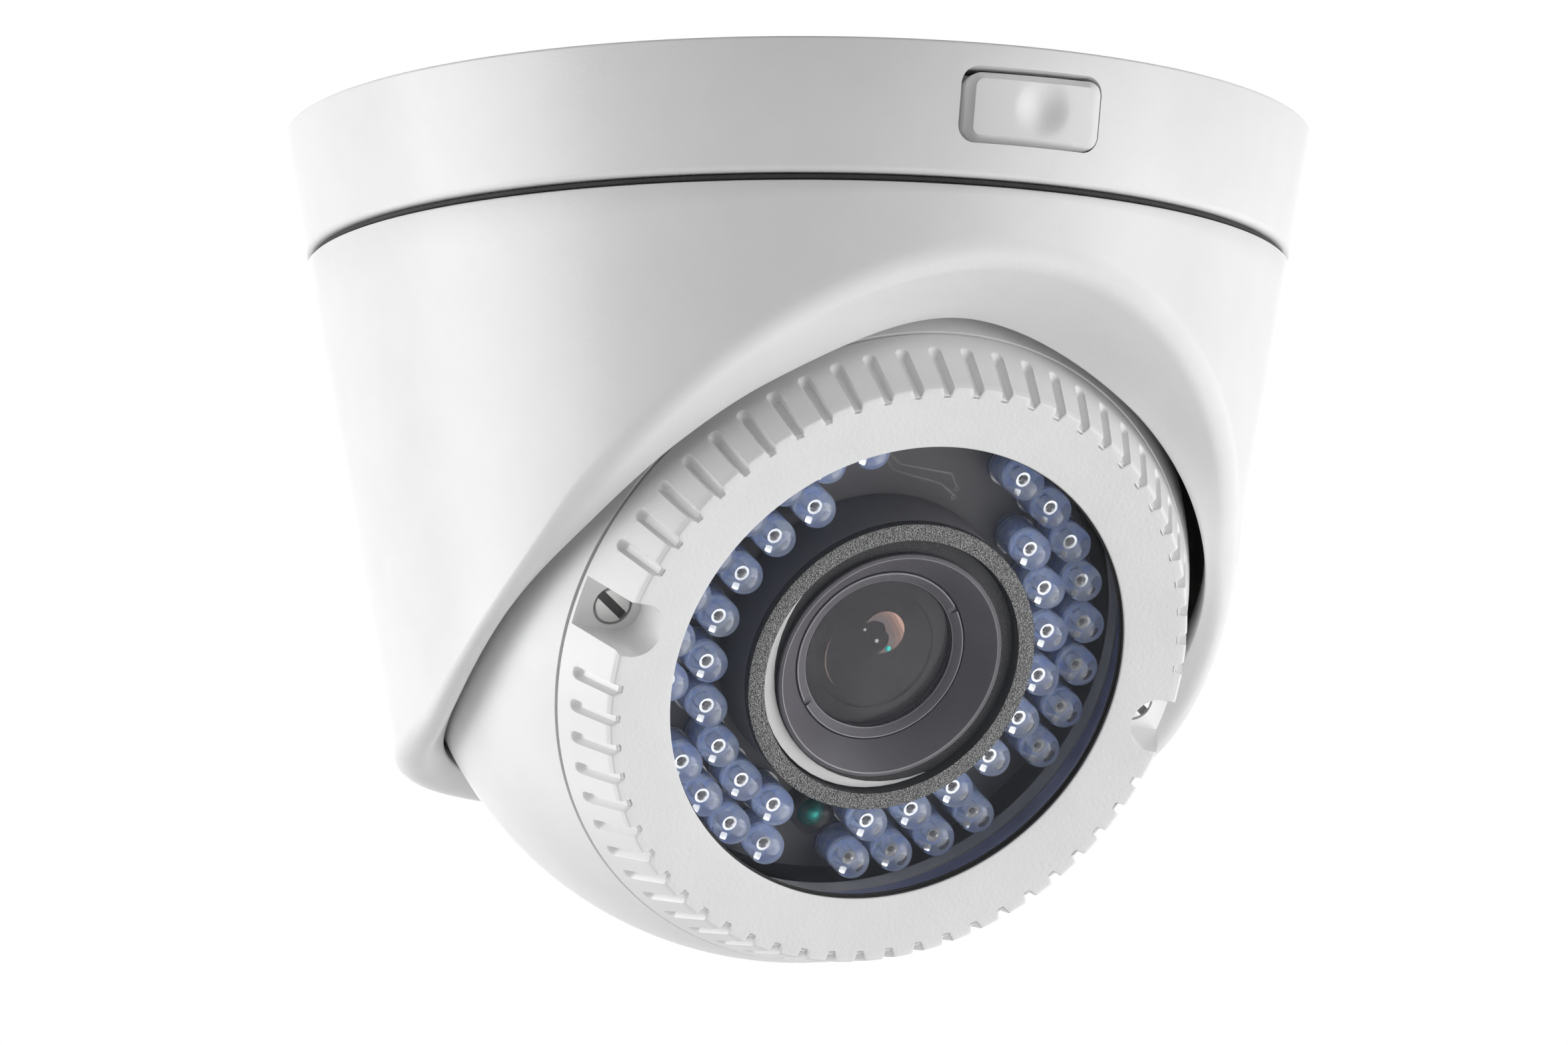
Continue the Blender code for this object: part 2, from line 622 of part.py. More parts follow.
def build_button(mid_z):
    """Key, retaining flange and latch in one moulding, with the spring behind it."""
    half_x = BUTTON_W / 2
    half_z = BUTTON_H / 2
    flange_low = max(mid_z - half_z - BUTTON_FLANGE, NECK_TOP + BALL_Z + SEAL_GAP)
    flange_high = min(mid_z + half_z + BUTTON_FLANGE, -PLATE_ROOM_T - TOUCH)
    flange_mid = (flange_low + flange_high) / 2
    flange_half_z = (flange_high - flange_low) / 2
    flange_half_x = half_x + BUTTON_FLANGE
    flange_y = -math.sqrt((base_radius(flange_low) - BASE_WALL) ** 2 - flange_half_x ** 2) * FACET + TOUCH
    back_y = flange_y + BUTTON_FLANGE_T
    tip_y = -(RING_R + RING_IN) / 2

    def face(z):
        return -(base_radius(z) - BUTTON_SINK)

    rings = [
        button_outline(half_x - BUTTON_BEVEL, half_z - BUTTON_BEVEL, BUTTON_CORNER / 2, mid_z, face),
        button_outline(half_x, half_z, BUTTON_CORNER, mid_z, lambda z: face(z) + BUTTON_BEVEL),
        button_outline(half_x, half_z, BUTTON_CORNER, mid_z, lambda z: flange_y),
        button_outline(flange_half_x, flange_half_z, BUTTON_CORNER, flange_mid, lambda z: flange_y),
        button_outline(flange_half_x, flange_half_z, BUTTON_CORNER, flange_mid, lambda z: back_y),
        button_outline(LATCH_W / 2, LATCH_H / 2, LATCH_H / 8, -LATCH_DROP, lambda z: back_y),
        button_outline(LATCH_W / 2, LATCH_H / 2, LATCH_H / 8, -LATCH_DROP, lambda z: tip_y)]
    button = loft("release_button", rings, WHITE_PLASTIC, None)
    dimple = [(0.0, DIMPLE_R)] + arc(DIMPLE_R, DIMPLE_R * 0.98, -DIMPLE_R * 0.98, 10) + [(0.0, -DIMPLE_R)]
    centre = Matrix.Translation((0, face(mid_z) - DIMPLE_R + DIMPLE_D, mid_z))
    place = centre @ Matrix.Rotation(math.radians(90), 4, 'X')
    boolean(button, turned("dimple", dimple, None, None, PIVOT_STEPS, place), 'DIFFERENCE')

    start = back_y + TOUCH + SPRING_WIRE
    stop = -RING_R - TOUCH - SPRING_WIRE
    stations = SPRING_TURNS * SPRING_STEPS
    rings = []
    for i in range(stations + 1):
        turn = math.tau * SPRING_TURNS * i / stations
        along = start + (stop - start) * i / stations
        ring = []
        for k in range(SPRING_SIDES):
            side = math.tau * k / SPRING_SIDES
            radius = SPRING_R + SPRING_WIRE * math.cos(side)
            ring.append((radius * math.cos(turn), along + SPRING_WIRE * math.sin(side),
                         -LATCH_DROP + radius * math.sin(turn)))
        rings.append(ring)
    loft("button_spring", rings, STEEL, None)


def build_yoke(parent):
    """Strap that runs round the back of the ball from one trunnion to the other."""
    rear = REAR_FLAT + RUN_GAP
    bend = math.atan2(rear, math.sqrt(YOKE_IN ** 2 - rear ** 2))
    nose = math.asin(YOKE_END / YOKE_OUT)
    turns = [nose + (-bend - nose) * i / YOKE_BENDS for i in range(YOKE_BENDS + 1)]
    side = [(Vector((math.cos(t), math.sin(t))) * YOKE_IN, Vector((math.cos(t), math.sin(t))) * YOKE_OUT)
            for t in turns]
    corner = side[-1][0]
    side[-1] = (corner, Vector((corner.x + YOKE_T * math.tan((math.pi / 2 - bend) / 2), -rear - YOKE_T)))
    mirror = [(Vector((-a.x, a.y)), Vector((-b.x, b.y))) for a, b in reversed(side)]
    rings = []
    for inner, outer in side + mirror:
        share = min(1.0, max(0.0, -inner.y / (2 * YOKE_HALF_W)))
        half = YOKE_NOSE_W + (YOKE_HALF_W - YOKE_NOSE_W) * share
        rings.append([(inner.x, -half, inner.y), (outer.x, -half, outer.y),
                      (outer.x, half, outer.y), (inner.x, half, inner.y)])
    yoke = loft("tilt_yoke", rings, STEEL, parent)
    flange_r = PIVOT_R + PIVOT_FLANGE
    hub = tube("yoke_hub", 0, flange_r, -rear - YOKE_T, -rear, None, parent, PIVOT_STEPS)
    boolean(yoke, hub, 'UNION')
    across = Matrix.Rotation(math.radians(90), 4, 'Y')
    root = YOKE_OUT - YOKE_T / 2
    tip = BUSH_IN + BUSH_T - SEAL_GAP
    ends = [sorted((side * root, side * tip)) for side in (-1, 1)]
    pins = [moved(spin_points(tube_profile(0, TRUNNION_R, *end), PIVOT_STEPS), across) for end in ends]
    boolean(yoke, joined("trunnions", pins, parent), 'UNION')
    bore = tube("yoke_bore", 0, PIVOT_R + TOUCH, -rear - YOKE_T - CUT_PAST, -rear + CUT_PAST, None, parent,
                PIVOT_STEPS)
    boolean(yoke, bore, 'DIFFERENCE')

    washer_l = -REAR_FLAT - (RUN_GAP - WASHER_T) / 2
    tube("friction_washer", PIVOT_R + TOUCH, PIVOT_R + WASHER_W, washer_l - WASHER_T, washer_l,
         BRONZE, parent, PIVOT_STEPS)
    flange_top = -rear - YOKE_T - TOUCH
    inside = -REAR_FLAT + REAR_WALL + TOUCH + PIVOT_FLANGE_T + TOUCH
    turned("roll_pivot", [
        (PIVOT_R - PIVOT_WALL, inside), (PIVOT_R, inside), (PIVOT_R, flange_top),
        (flange_r, flange_top), (flange_r, flange_top - PIVOT_FLANGE_T),
        (PIVOT_R - PIVOT_WALL, flange_top - PIVOT_FLANGE_T)], STEEL, parent, PIVOT_STEPS)
    nut_l = -REAR_FLAT + REAR_WALL + TOUCH
    tube("pivot_nut", PIVOT_R + TOUCH, flange_r, nut_l, nut_l + PIVOT_FLANGE_T, BRONZE, parent,
         PIVOT_STEPS)


def build_ball_shells(parent):
    seat = BEZEL_BACK - TOUCH
    seam = -SEAM_BACK
    front = arc(BALL_R, seat, seam + TOUCH / 2, 6) + arc(BALL_IN, seam + TOUCH / 2, seat - FLANGE_T, 2)
    front += [(BORE_R, seat - FLANGE_T), (BORE_R, seat)]
    half = turned("ball_front", front, WHITE, parent)
    place = list(around(NOTCH_COUNT, notch_screw_radius()))
    hole = tube_profile(0, SCREW_SHANK_R + TOUCH, seat - FLANGE_T - CUT_PAST, seat + CUT_PAST)
    boolean(half, joined("flange_holes", [moved(spin_points(hole, SMALL_STEPS), p) for p in place], parent),
            'DIFFERENCE')
    ledge_l = PLATE_BACK - TOUCH
    ledge_r = math.sqrt(BALL_IN ** 2 - ledge_l ** 2)
    rear = arc(BALL_R, seam - TOUCH / 2, -REAR_FLAT, 4)
    rear += [(PIVOT_R + TOUCH, -REAR_FLAT), (PIVOT_R + TOUCH, -REAR_FLAT + REAR_WALL)]
    rear += arc(BALL_IN, -REAR_FLAT + REAR_WALL, ledge_l - LEDGE_T - LEDGE_W, 1)
    rear += [(ledge_r - LEDGE_W, ledge_l - LEDGE_T), (ledge_r - LEDGE_W, ledge_l), (ledge_r, ledge_l),
             (math.sqrt(BALL_IN ** 2 - SEAM_BACK ** 2), seam - TOUCH / 2)]
    turned("ball_rear", rear, WHITE, parent)


def notch_screw_radius():
    return BORE_R + NOTCH_WALL + NOTCH_W / 2


def groove(angle):
    """Cutter of one grip groove, laid along the bezel's slope and open at its front edge."""
    slope = Vector((-BEZEL_TAPER, BEZEL_DEPTH)).normalized()
    normal = Vector((slope.y, -slope.x))
    front = Vector((BEZEL_FRONT_R, FACE_L))
    half = GROOVE_W / 2
    section = [(-half, GROOVE_D), (half, GROOVE_D), (half * GROOVE_FLOOR, -GROOVE_D),
               (-half * GROOVE_FLOOR, -GROOVE_D)]
    turn = Matrix.Rotation(math.radians(angle), 4, 'Z')
    rings = []
    for along, run_out in ((-GROOVE_LENGTH, GROOVE_D), (GROOVE_D, 0.0)):
        rings.append([])
        for across, depth in section:
            out = front + slope * (along + (run_out if depth < 0 else 0.0)) + normal * depth
            rings[-1].append(tuple(turn @ Vector((out.x, across, out.y))))
    return skin(rings)


def build_bezel(parent):
    profile = [
        (BEZEL_BACK_R, BEZEL_BACK), (BEZEL_FRONT_R, FACE_L), (HOLE_R, HOLE_L), (HOLE_R, LIP_L),
        (BORE_R, LIP_L), (BORE_R, BEZEL_BACK)]
    columns = round(360.0 / GROOVE_PITCH)
    half_pitch = Matrix.Rotation(math.radians(GROOVE_PITCH / 2), 4, 'Z')
    bezel = turned("front_bezel", profile, WHITE, parent, columns, half_pitch)
    angles = [GROOVE_PITCH * i for i in range(columns)]
    apart = 360.0 / NOTCH_COUNT
    clear = NOTCH_GROOVES * GROOVE_PITCH
    clear_of_notch = [a for a in angles if min(a % apart, apart - a % apart) > clear]
    boolean(bezel, joined("grooves", [groove(a) for a in clear_of_notch], parent), 'DIFFERENCE')
    floor = BEZEL_BACK + NOTCH_FLOOR
    radius = notch_screw_radius()
    bodies = []
    for turn in around(NOTCH_COUNT, 0.0):
        outline = [(radius - math.cos(t) * NOTCH_W / 2, math.sin(t) * NOTCH_W / 2)
                   for t in (math.pi * (i / NOTCH_ARC_STEPS - 0.5) for i in range(NOTCH_ARC_STEPS + 1))]
        outline += [(BALL_R, NOTCH_W / 2), (BALL_R, -NOTCH_W / 2)]
        rings = [[(x, y, z) for x, y in outline] for z in (floor, FACE_L + CUT_PAST)]
        bodies.append(moved(skin(rings), turn))
    boolean(bezel, joined("notches", bodies, parent), 'DIFFERENCE')
    hole = tube_profile(0, SCREW_SHANK_R + TOUCH, BEZEL_BACK - CUT_PAST, floor + CUT_PAST)
    holes = [moved(spin_points(hole, SMALL_STEPS), p) for p in around(NOTCH_COUNT, radius)]
    boolean(bezel, joined("notch_holes", holes, parent), 'DIFFERENCE')
    head = floor + TOUCH
    for i, place in enumerate(around(NOTCH_COUNT, radius)):
        screw = turned(f"bezel_screw_{i + 1}", [
            (0.0, head + SCREW_HEAD_H), (SCREW_HEAD_R * 0.6, head + SCREW_HEAD_H),
            (SCREW_HEAD_R, head + SCREW_HEAD_H * 0.6), (SCREW_HEAD_R, head), (SCREW_SHANK_R, head),
            (SCREW_SHANK_R, head - SCREW_LENGTH), (0.0, head - SCREW_LENGTH)],
            STEEL, parent, SMALL_STEPS, place)
        top = head + SCREW_HEAD_H
        slot = prism(f"screw_slot_{i + 1}", rectangle(SCREW_HEAD_R * 2, SLOT_W / 2), top - SLOT_D,
                     top + CUT_PAST, None, parent, place @ Matrix.Rotation(math.radians(SLOT_TURN), 4, 'Z'))
        boolean(screw, slot, 'DIFFERENCE')


def led_angles(count, first, step, skipped=None):
    """Lamp angles on both sides of the lowest point, leaving the top free."""
    offsets = [first + step * i for i in range(count) if i != skipped]
    return [-90.0 + side * offset for offset in offsets for side in (-1, 1)]


def build_front(parent):
    tube("window", 0, WINDOW_R, WINDOW_BACK, WINDOW_L, CLEAR, parent)
    tube("window_gasket", HOLE_R + SEAL_GAP, WINDOW_R, GASKET_L - GASKET_T, GASKET_L, BLACK_RUBBER, parent,
         INNER_STEPS)
    clip_l = WINDOW_BACK - SEAL_GAP
    tube("window_retainer", WINDOW_R - WINDOW_SEAT / 2, WINDOW_R, clip_l - WINDOW_CLIP_T, clip_l,
         BLACK_PLASTIC, parent, INNER_STEPS)
    tube("foam_ring", FOAM_IN, FOAM_OUT, BOARD_L + TOUCH, FOAM_L, FOAM, parent, INNER_STEPS)
    board = tube("led_board", FOAM_OUT - FOAM_SEAT, OUTER_LED_R + BOARD_EDGE, BOARD_BACK, BOARD_L,
                 BOARD, parent, INNER_STEPS)
    lamp = [(0.0, BOARD_L + LED_H), (LED_R, BOARD_L + LED_H - LED_R), (LED_R, BOARD_L - LED_ROOT),
            (0.0, BOARD_L - LED_ROOT)]
    lamps = []
    rings = ((INNER_LED_R, led_angles(INNER_LED_COUNT, INNER_LED_FIRST, INNER_LED_STEP)),
             (OUTER_LED_R, led_angles(OUTER_LED_COUNT, OUTER_LED_FIRST, OUTER_LED_STEP, OUTER_LED_SKIPPED)))
    for radius, angles in rings:
        for angle in angles:
            place = next(around(1, radius, angle))
            lamps.append(moved(spin_points(lamp, HEX_STEPS), place))
    boolean(board, joined("lamps", lamps, parent), 'UNION')
    eye = next(around(1, INNER_LED_R, -90.0))
    sensor_foot = BOARD_L + TOUCH
    turned("light_sensor", [
        (0.0, sensor_foot + SENSOR_H), (LED_R * 0.7, sensor_foot + SENSOR_H - LED_R * 0.3),
        (LED_R, sensor_foot + SENSOR_H - LED_R), (LED_R, sensor_foot), (0.0, sensor_foot)],
        BLACK_PLASTIC, parent, SMALL_STEPS, eye)


def lever_reach():
    return POST_RADIUS - POST_R - RUN_GAP


def build_lens(parent):
    rim = LENS_R - LENS_RIM
    seat = GLASS_R + RETAINER_W + SEAL_GAP
    glass_front = LENS_L - LENS_DISH - RETAINER_T
    glass_back = glass_front - GLASS_T
    turned("lens_barrel", [
        (rim, LENS_L), (LENS_R - LENS_EDGE, LENS_L), (LENS_R, LENS_L - LENS_EDGE),
        (LENS_R, LENS_L - LENS_HEAD), (CORE_R, LENS_L - LENS_HEAD), (CORE_R, TAIL_L),
        (LENS_R - RING_LIP, TAIL_L), (LENS_R - RING_LIP, TAIL_BACK), (LENS_BORE, TAIL_BACK),
        (LENS_BORE, glass_back - TOUCH), (seat, glass_back - TOUCH), (seat, LENS_L - LENS_DISH)],
        BARREL, parent, INNER_STEPS)
    dome = [(GLASS_R * (1 - i / 4), glass_front + GLASS_BULGE * (1 - (1 - i / 4) ** 2)) for i in range(5)]
    dome += [(0.0, glass_back), (GLASS_R, glass_back)]
    turned("lens_front_glass", dome, GLASS, parent, INNER_STEPS)
    ring_l = glass_front + SEAL_GAP
    tube("lens_retaining_ring", GLASS_R - RETAINER_W / 4, seat - SEAL_GAP, ring_l, ring_l + RETAINER_T,
         BARREL, parent, INNER_STEPS)
    grip = LENS_R + RING_LIP
    reach = lever_reach()
    for name, top, thick in (("zoom", ZOOM_L, ZOOM_RING_T), ("focus", FOCUS_L, FOCUS_RING_T)):
        tube(f"{name}_ring", CORE_R + SEAL_GAP, grip, top - thick, top, BLACK_PLASTIC, parent, INNER_STEPS)
        turn = Matrix.Rotation(math.radians(LEVER_ANGLES[name]), 4, 'Z')
        out = turn @ Matrix.Translation((0, 0, top - thick / 2)) @ Matrix.Rotation(math.radians(90), 4, 'Y')
        turned(f"{name}_lever", [
            (0.0, reach), (LEVER_R * 0.6, reach), (LEVER_R, reach - LEVER_R * 0.4),
            (LEVER_R, grip + LEVER_R), (LEVER_R * 0.6, grip + LEVER_R),
            (LEVER_R * 0.6, grip + TOUCH), (0.0, grip + TOUCH)], STEEL, parent, SMALL_STEPS, out)


def build_module(parent):
    holder = tube("lens_holder", HOLDER_BORE, HOLDER_R, HOLDER_BACK, HOLDER_L,
                  BLACK_PLASTIC, parent, INNER_STEPS)
    gap = SLIDE_T / 2 + RUN_GAP
    slot = prism("slide_slot", rectangle(HOLDER_R + CUT_PAST, SLIDE_HALF_W + RUN_GAP),
                 SLIDE_MID - gap, SLIDE_MID + gap, None, parent)
    boolean(holder, slot, 'DIFFERENCE')
    length = SLIDE_SHIFT + 2 * SLIDE_END
    slide = prism("filter_slide", rectangle(length / 2, SLIDE_HALF_W, SLIDE_SHIFT / 2),
                  SLIDE_MID - SLIDE_T / 2, SLIDE_MID + SLIDE_T / 2, BLACK_PLASTIC, parent)
    holes = []
    for name, along, look in (("infrared_filter", 0.0, FILTER), ("clear_filter", SLIDE_SHIFT, CLEAR)):
        place = Matrix.Translation((along, 0, SLIDE_MID))
        tube(name, 0, FILTER_R - SEAL_GAP, -SLIDE_T / 2, SLIDE_T / 2, look, parent, SMALL_STEPS, place)
        holes.append(moved(spin_points(tube_profile(0, FILTER_R, -SLIDE_T, SLIDE_T), SMALL_STEPS), place))
    boolean(slide, joined("slide_windows", holes, parent), 'DIFFERENCE')

    half = SENSOR_BOARD_HALF
    prism("sensor_board", rounded_rectangle(half, half, SPACER_R), SENSOR_BOARD_BACK, SENSOR_BOARD_L,
          BOARD, parent)
    chip_l = SENSOR_BOARD_L + TOUCH
    chip = rectangle(CHIP_SIZE[0] / 2, CHIP_SIZE[1] / 2)
    prism("image_sensor", chip, chip_l, chip_l + CHIP_T, CHIP, parent)
    plate_r = math.sqrt(BALL_IN ** 2 - PLATE_BACK ** 2) - RUN_GAP
    tube("module_plate", PLATE_BORE, plate_r, PLATE_BACK, PLATE_L, STEEL, parent, INNER_STEPS)
    corner = half - SPACER_R
    for i, place in enumerate(around(4, corner * math.sqrt(2), 45.0)):
        tube(f"sensor_spacer_{i + 1}", 0, SPACER_R, PLATE_L + TOUCH, SENSOR_BOARD_BACK - TOUCH,
             STEEL, parent, HEX_STEPS, place)
    for i, place in enumerate(around(POST_COUNT, POST_RADIUS, POST_FIRST)):
        tube(f"lamp_post_{i + 1}", 0, POST_R, PLATE_L + TOUCH, BOARD_BACK - TOUCH, STEEL, parent, HEX_STEPS,
             place)
    half_x, half_y = (side / 2 for side in MAIN_BOARD_SIZE)
    prism("main_board", rounded_rectangle(half_x, half_y, SPACER_R), MAIN_BOARD_L - BOARD_T, MAIN_BOARD_L,
          BOARD, parent)
    in_x, in_y = half_x - 2 * SPACER_R, half_y - 2 * SPACER_R
    for i, spot in enumerate(((0.0, in_y), (-in_x, -in_y), (in_x, -in_y))):
        tube(f"main_spacer_{i + 1}", 0, SPACER_R, MAIN_BOARD_L + TOUCH, PLATE_BACK - TOUCH, STEEL, parent,
             HEX_STEPS, Matrix.Translation((*spot, 0.0)))


def main():
    clear_scene()
    pan = axis_empty("pan_axis", Matrix.Translation((0, 0, BALL_Z * MM)))
    tilt = axis_empty("tilt_axis", Matrix.Rotation(math.radians(90 + BALL_TILT), 4, 'X'), pan)
    roll = axis_empty("roll_axis", Matrix.Rotation(math.radians(BALL_ROLL), 4, 'Z'), tilt)
    build_base()
    build_shell(pan)
    build_yoke(tilt)
    build_ball_shells(roll)
    build_bezel(roll)
    build_front(roll)
    build_lens(roll)
    build_module(roll)


main()
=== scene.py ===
"""Looks of the ceiling turret camera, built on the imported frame.

Sizes are in millimetres. The ceiling face is at z = 0 and the lens looks towards -Y and down.
"""
import json
import math

import bmesh
import bpy
from mathutils import Matrix, Vector


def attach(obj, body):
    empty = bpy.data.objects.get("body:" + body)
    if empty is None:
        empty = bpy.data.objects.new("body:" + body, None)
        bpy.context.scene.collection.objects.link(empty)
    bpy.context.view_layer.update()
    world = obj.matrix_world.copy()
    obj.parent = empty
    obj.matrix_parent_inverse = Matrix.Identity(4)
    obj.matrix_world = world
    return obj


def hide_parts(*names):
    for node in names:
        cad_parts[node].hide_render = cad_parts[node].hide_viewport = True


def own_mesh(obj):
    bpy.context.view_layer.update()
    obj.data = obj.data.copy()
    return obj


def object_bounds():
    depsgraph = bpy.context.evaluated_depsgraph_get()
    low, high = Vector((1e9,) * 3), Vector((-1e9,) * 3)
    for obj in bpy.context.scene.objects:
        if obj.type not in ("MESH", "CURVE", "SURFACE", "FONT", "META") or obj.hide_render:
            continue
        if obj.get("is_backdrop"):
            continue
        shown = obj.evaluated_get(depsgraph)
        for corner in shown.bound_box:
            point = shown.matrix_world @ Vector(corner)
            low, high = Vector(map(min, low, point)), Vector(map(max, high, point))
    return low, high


MM = 0.001

# The photograph's camera
PHOTO_WIDTH = 2353
FOCAL_PIXELS = 9670.2
SENSOR_WIDTH = 36.0
CAMERA_PLACE = (-376.1, -761.6, -170.1)
CAMERA_LOOK = (0.4366, 0.8890, 0.1387)
CAMERA_NEAR = 0.01

# Soft lamps: name, azimuth from the camera, elevation, distance, size and power
LAMPS = (
    ("left", -72.0, 0.0, 650.0, 540.0, 3.4),
    ("left_low", -95.0, -35.0, 420.0, 350.0, 0.6),
    ("right", 68.0, 8.0, 900.0, 700.0, 3.4),
    ("right_low", 60.0, -35.0, 575.0, 700.0, 1.6),
    ("side_low", 100.0, -35.0, 575.0, 700.0, 1.7),
    ("back", 180.0, 20.0, 900.0, 700.0, 3.0),
)
WORLD_LIGHT = 0.09
WHITE_LIGHT = (1.0, 1.0, 1.0, 1.0)

# Grain of the finishes and pores of the foam, in metres
GRAIN_HEIGHT = 0.0002
PORE_HEIGHT = 0.0004

# The room's floor lies a ceiling's height below
FLOOR_Z = -2500.0
FLOOR_HALF = 8000.0
FLOOR_GLOW = 0.95
FLOOR_GLOW_SHARE = 0.6

# Ball: it and all it carries are measured along the lens axis from the ball's centre
BALL_TILT = 30.0
BALL_ROLL = -6.7
BALL_R = 51.97
BALL_WALL = 2.2
SEAM_BACK = 12.0
SEAM_HALF_GAP = 0.15
REAR_FLAT = 36.0
REAR_WALL = 2.5
PIVOT_HOLE = 8.3
FLANGE_T = 2.4

# Bezel on the ball's front: dished face, window hole and grip grooves
BEZEL_BACK = 27.0
BEZEL_BACK_R = 44.4
BEZEL_BACK_BEVEL = 0.4
BEZEL_FRONT_R = 40.3
BEZEL_GAP = 0.3
BEZEL_EDGE = 0.35
BEZEL_FLARE = 0.12
FACE_L = 35.4
FACE_SHARES = (0.14, 0.3, 0.5, 0.7, 0.9)
HOLE_R = 31.75
HOLE_L = 34.3
HOLE_EDGE = 0.2
LIP_L = 33.6
BORE_R = 34.2
EDGE_STEPS = 4
GROOVE_PITCH = 6.0
GROOVE_W = 1.75
GROOVE_D = 0.95
GROOVE_LENGTH = 7.0
GROOVE_WALL = 0.4
# Columns in from a groove's side, and rows down the bezel's slope from its front
GROOVE_COLUMNS = (-0.5, 0.0, 0.12, 0.25, 0.42)
BEZEL_ROWS = (9.2, 8.2, 7.4, 7.0, 6.85, 6.7, 6.55, 6.4, 6.25, 6.1, 5.0, 3.5, 2.0, 1.0, 0.45)
# Grooves nearer to a screw than this many pitches are left out
PLAIN_PITCHES = 1.5

# Screws and the notches they lie in: each notch widens by the given growth at a height
SCREW_RADIUS = 39.3
SCREW_HEAD_R = 2.35
SCREW_BORE_GAP = 0.3
SCREW_SHANK_R = 1.3
SCREW_SHANK_L = 3.2
SCREW_PROUD = 0.1
SCREW_TURN = -30.0
SLOT_HALF_L = 4.0
SLOT_HALF_W = 0.6
SLOT_FLOOR = 0.15
SLOT_PAST = 3.0
SLOT_SKIN = 0.03
HEAD_SKIN = 0.02
NOTCH_RADIUS = 38.6
NOTCH_W = 6.6
NOTCH_FLOOR = 27.5
NOTCH_RINGS = ((0.0, NOTCH_FLOOR), (0.0, FACE_L - 0.9), (0.35, FACE_L - 0.2), (0.5, FACE_L + 2.0))

# Window with its gasket and clip
SOFT_EDGE = 0.1
WINDOW_R = 33.8
WINDOW_L = 32.9
WINDOW_T = 0.8
WINDOW_BACK = WINDOW_L - WINDOW_T
WINDOW_EDGE = 0.2
GASKET_IN = HOLE_R - 0.2
GASKET_TOP = WINDOW_L + 0.5
GASKET_FOOT = WINDOW_L + 0.15
CLIP_IN = WINDOW_R - 1.0
CLIP_TOP = WINDOW_BACK - 0.2
CLIP_FOOT = WINDOW_BACK - 1.0

# Lamp board with its traces, and the foam ring that stands on it
BOARD_L = 21.4
BOARD_T = 1.6
BOARD_IN = 18.65
BOARD_OUT = 33.2
TRACE_ROUTES = (
    ((-6.4, 25.1), (-3.9, 23.0), (3.4, 22.5), (5.9, 21.3)),
    ((-5.8, 25.4), (-3.2, 24.0), (4.5, 24.1), (5.8, 22.5)),
)
TRACE_HALF_W = 0.14
TRACE_T = 0.05
PAD_PLACES = ((5.9, 21.0), (5.9, 22.3))
PAD_IN = 0.15
PAD_OUT = 0.4
PAD_T = 0.06
FOAM_IN = 17.8
FOAM_OUT = 20.15
FOAM_L = 31.8
FOAM_FOOT = BOARD_L + 0.3
FOAM_BAND = FOAM_L - 1.2
FOAM_SKIN = 0.2
FOAM_FACING = 0.6

# Lamps: outlines of (radius, height above the board), and bars of (half sizes and corner), heights
LED_R = 2.5
LED_H = 8.7
LED_FOOT = ((LED_R, 1.0), (2.75, 1.0), (2.75, 0.05), (0.0, 0.05))
LED_TINT = ((0.0, 4.3), (1.7, 4.3), (2.1, 3.9), (2.1, 0.3), (0.0, 0.3))
LED_CUP = ((0.0, 5.4), (0.3, 5.4), (0.46, 5.75), (0.66, 5.75), (0.62, 4.9), (0.36, 4.5), (0.0, 4.5))
LED_POST = ((0.55, 0.25, 0.1), (4.2, 4.7))
LED_PIN = ((0.3, 0.25, 0.1), (4.2, 5.3, 5.6))
LED_PIN_Y = -1.15
LED_DIE = ((0.2, 0.2, 0.03), (5.42, 5.6))
# Lamps on each side of the light sensor: count, first angle, step and the one left out
INNER_LED_R = 24.1
INNER_LEDS = (9, 17.0, 15.1, None)
OUTER_LED_R = 29.3
OUTER_LEDS = (13, 12.7, 12.0, 4)

# Light sensor: outlines of (radius, height above the board); the bead and the chip inside its dome are a
# painted teal reflection
SENSOR_R = 2.75
SENSOR_DOME_FOOT = 4.3
SENSOR_DOME_H = 2.2
SENSOR_FOOT = ((SENSOR_R, 0.3), (0.0, 0.3))
SENSOR_BEAD = ((0.0, 4.4), (1.0, 4.3), (1.7, 3.8), (1.9, 3.2), (0.0, 3.2))
SENSOR_GLINT = ((0.0, 5.3), (0.5, 5.15), (0.85, 4.8), (0.95, 4.45), (0.0, 4.45))
SENSOR_CHIP_PLACE = (-0.35, 0.3, 0.0)

# Lens: front glass, and outlines of (radius, height) for the barrel and the well behind the glass
LENS_R = 15.7
LENS_L = 31.3
GLASS_R = 10.6
GLASS_L = 26.9
GLASS_RISE = 1.8
GLASS_RINGS = 10
GLASS_SEAT = GLASS_L - 1.5
GLASS_BACK = GLASS_SEAT + 0.4
RIM_L = GLASS_L + 1.0
COLLAR_L = LENS_L - 0.9
BARREL_OUTLINE = (
    (11.9, RIM_L - 0.1), (15.05, LENS_L - 0.1), (15.2, LENS_L), (LENS_R - 0.1, LENS_L - 0.1),
    (LENS_R, LENS_L - 0.3), (LENS_R, COLLAR_L), (17.55, COLLAR_L - 0.1), (17.55, COLLAR_L - 0.6),
    (LENS_R, COLLAR_L - 0.6), (LENS_R, 17.2), (11.1, 17.2), (11.1, 6.6), (14.8, 6.6), (14.8, -0.9),
    (8.2, -0.9), (8.2, GLASS_SEAT), (11.9, GLASS_SEAT),
)
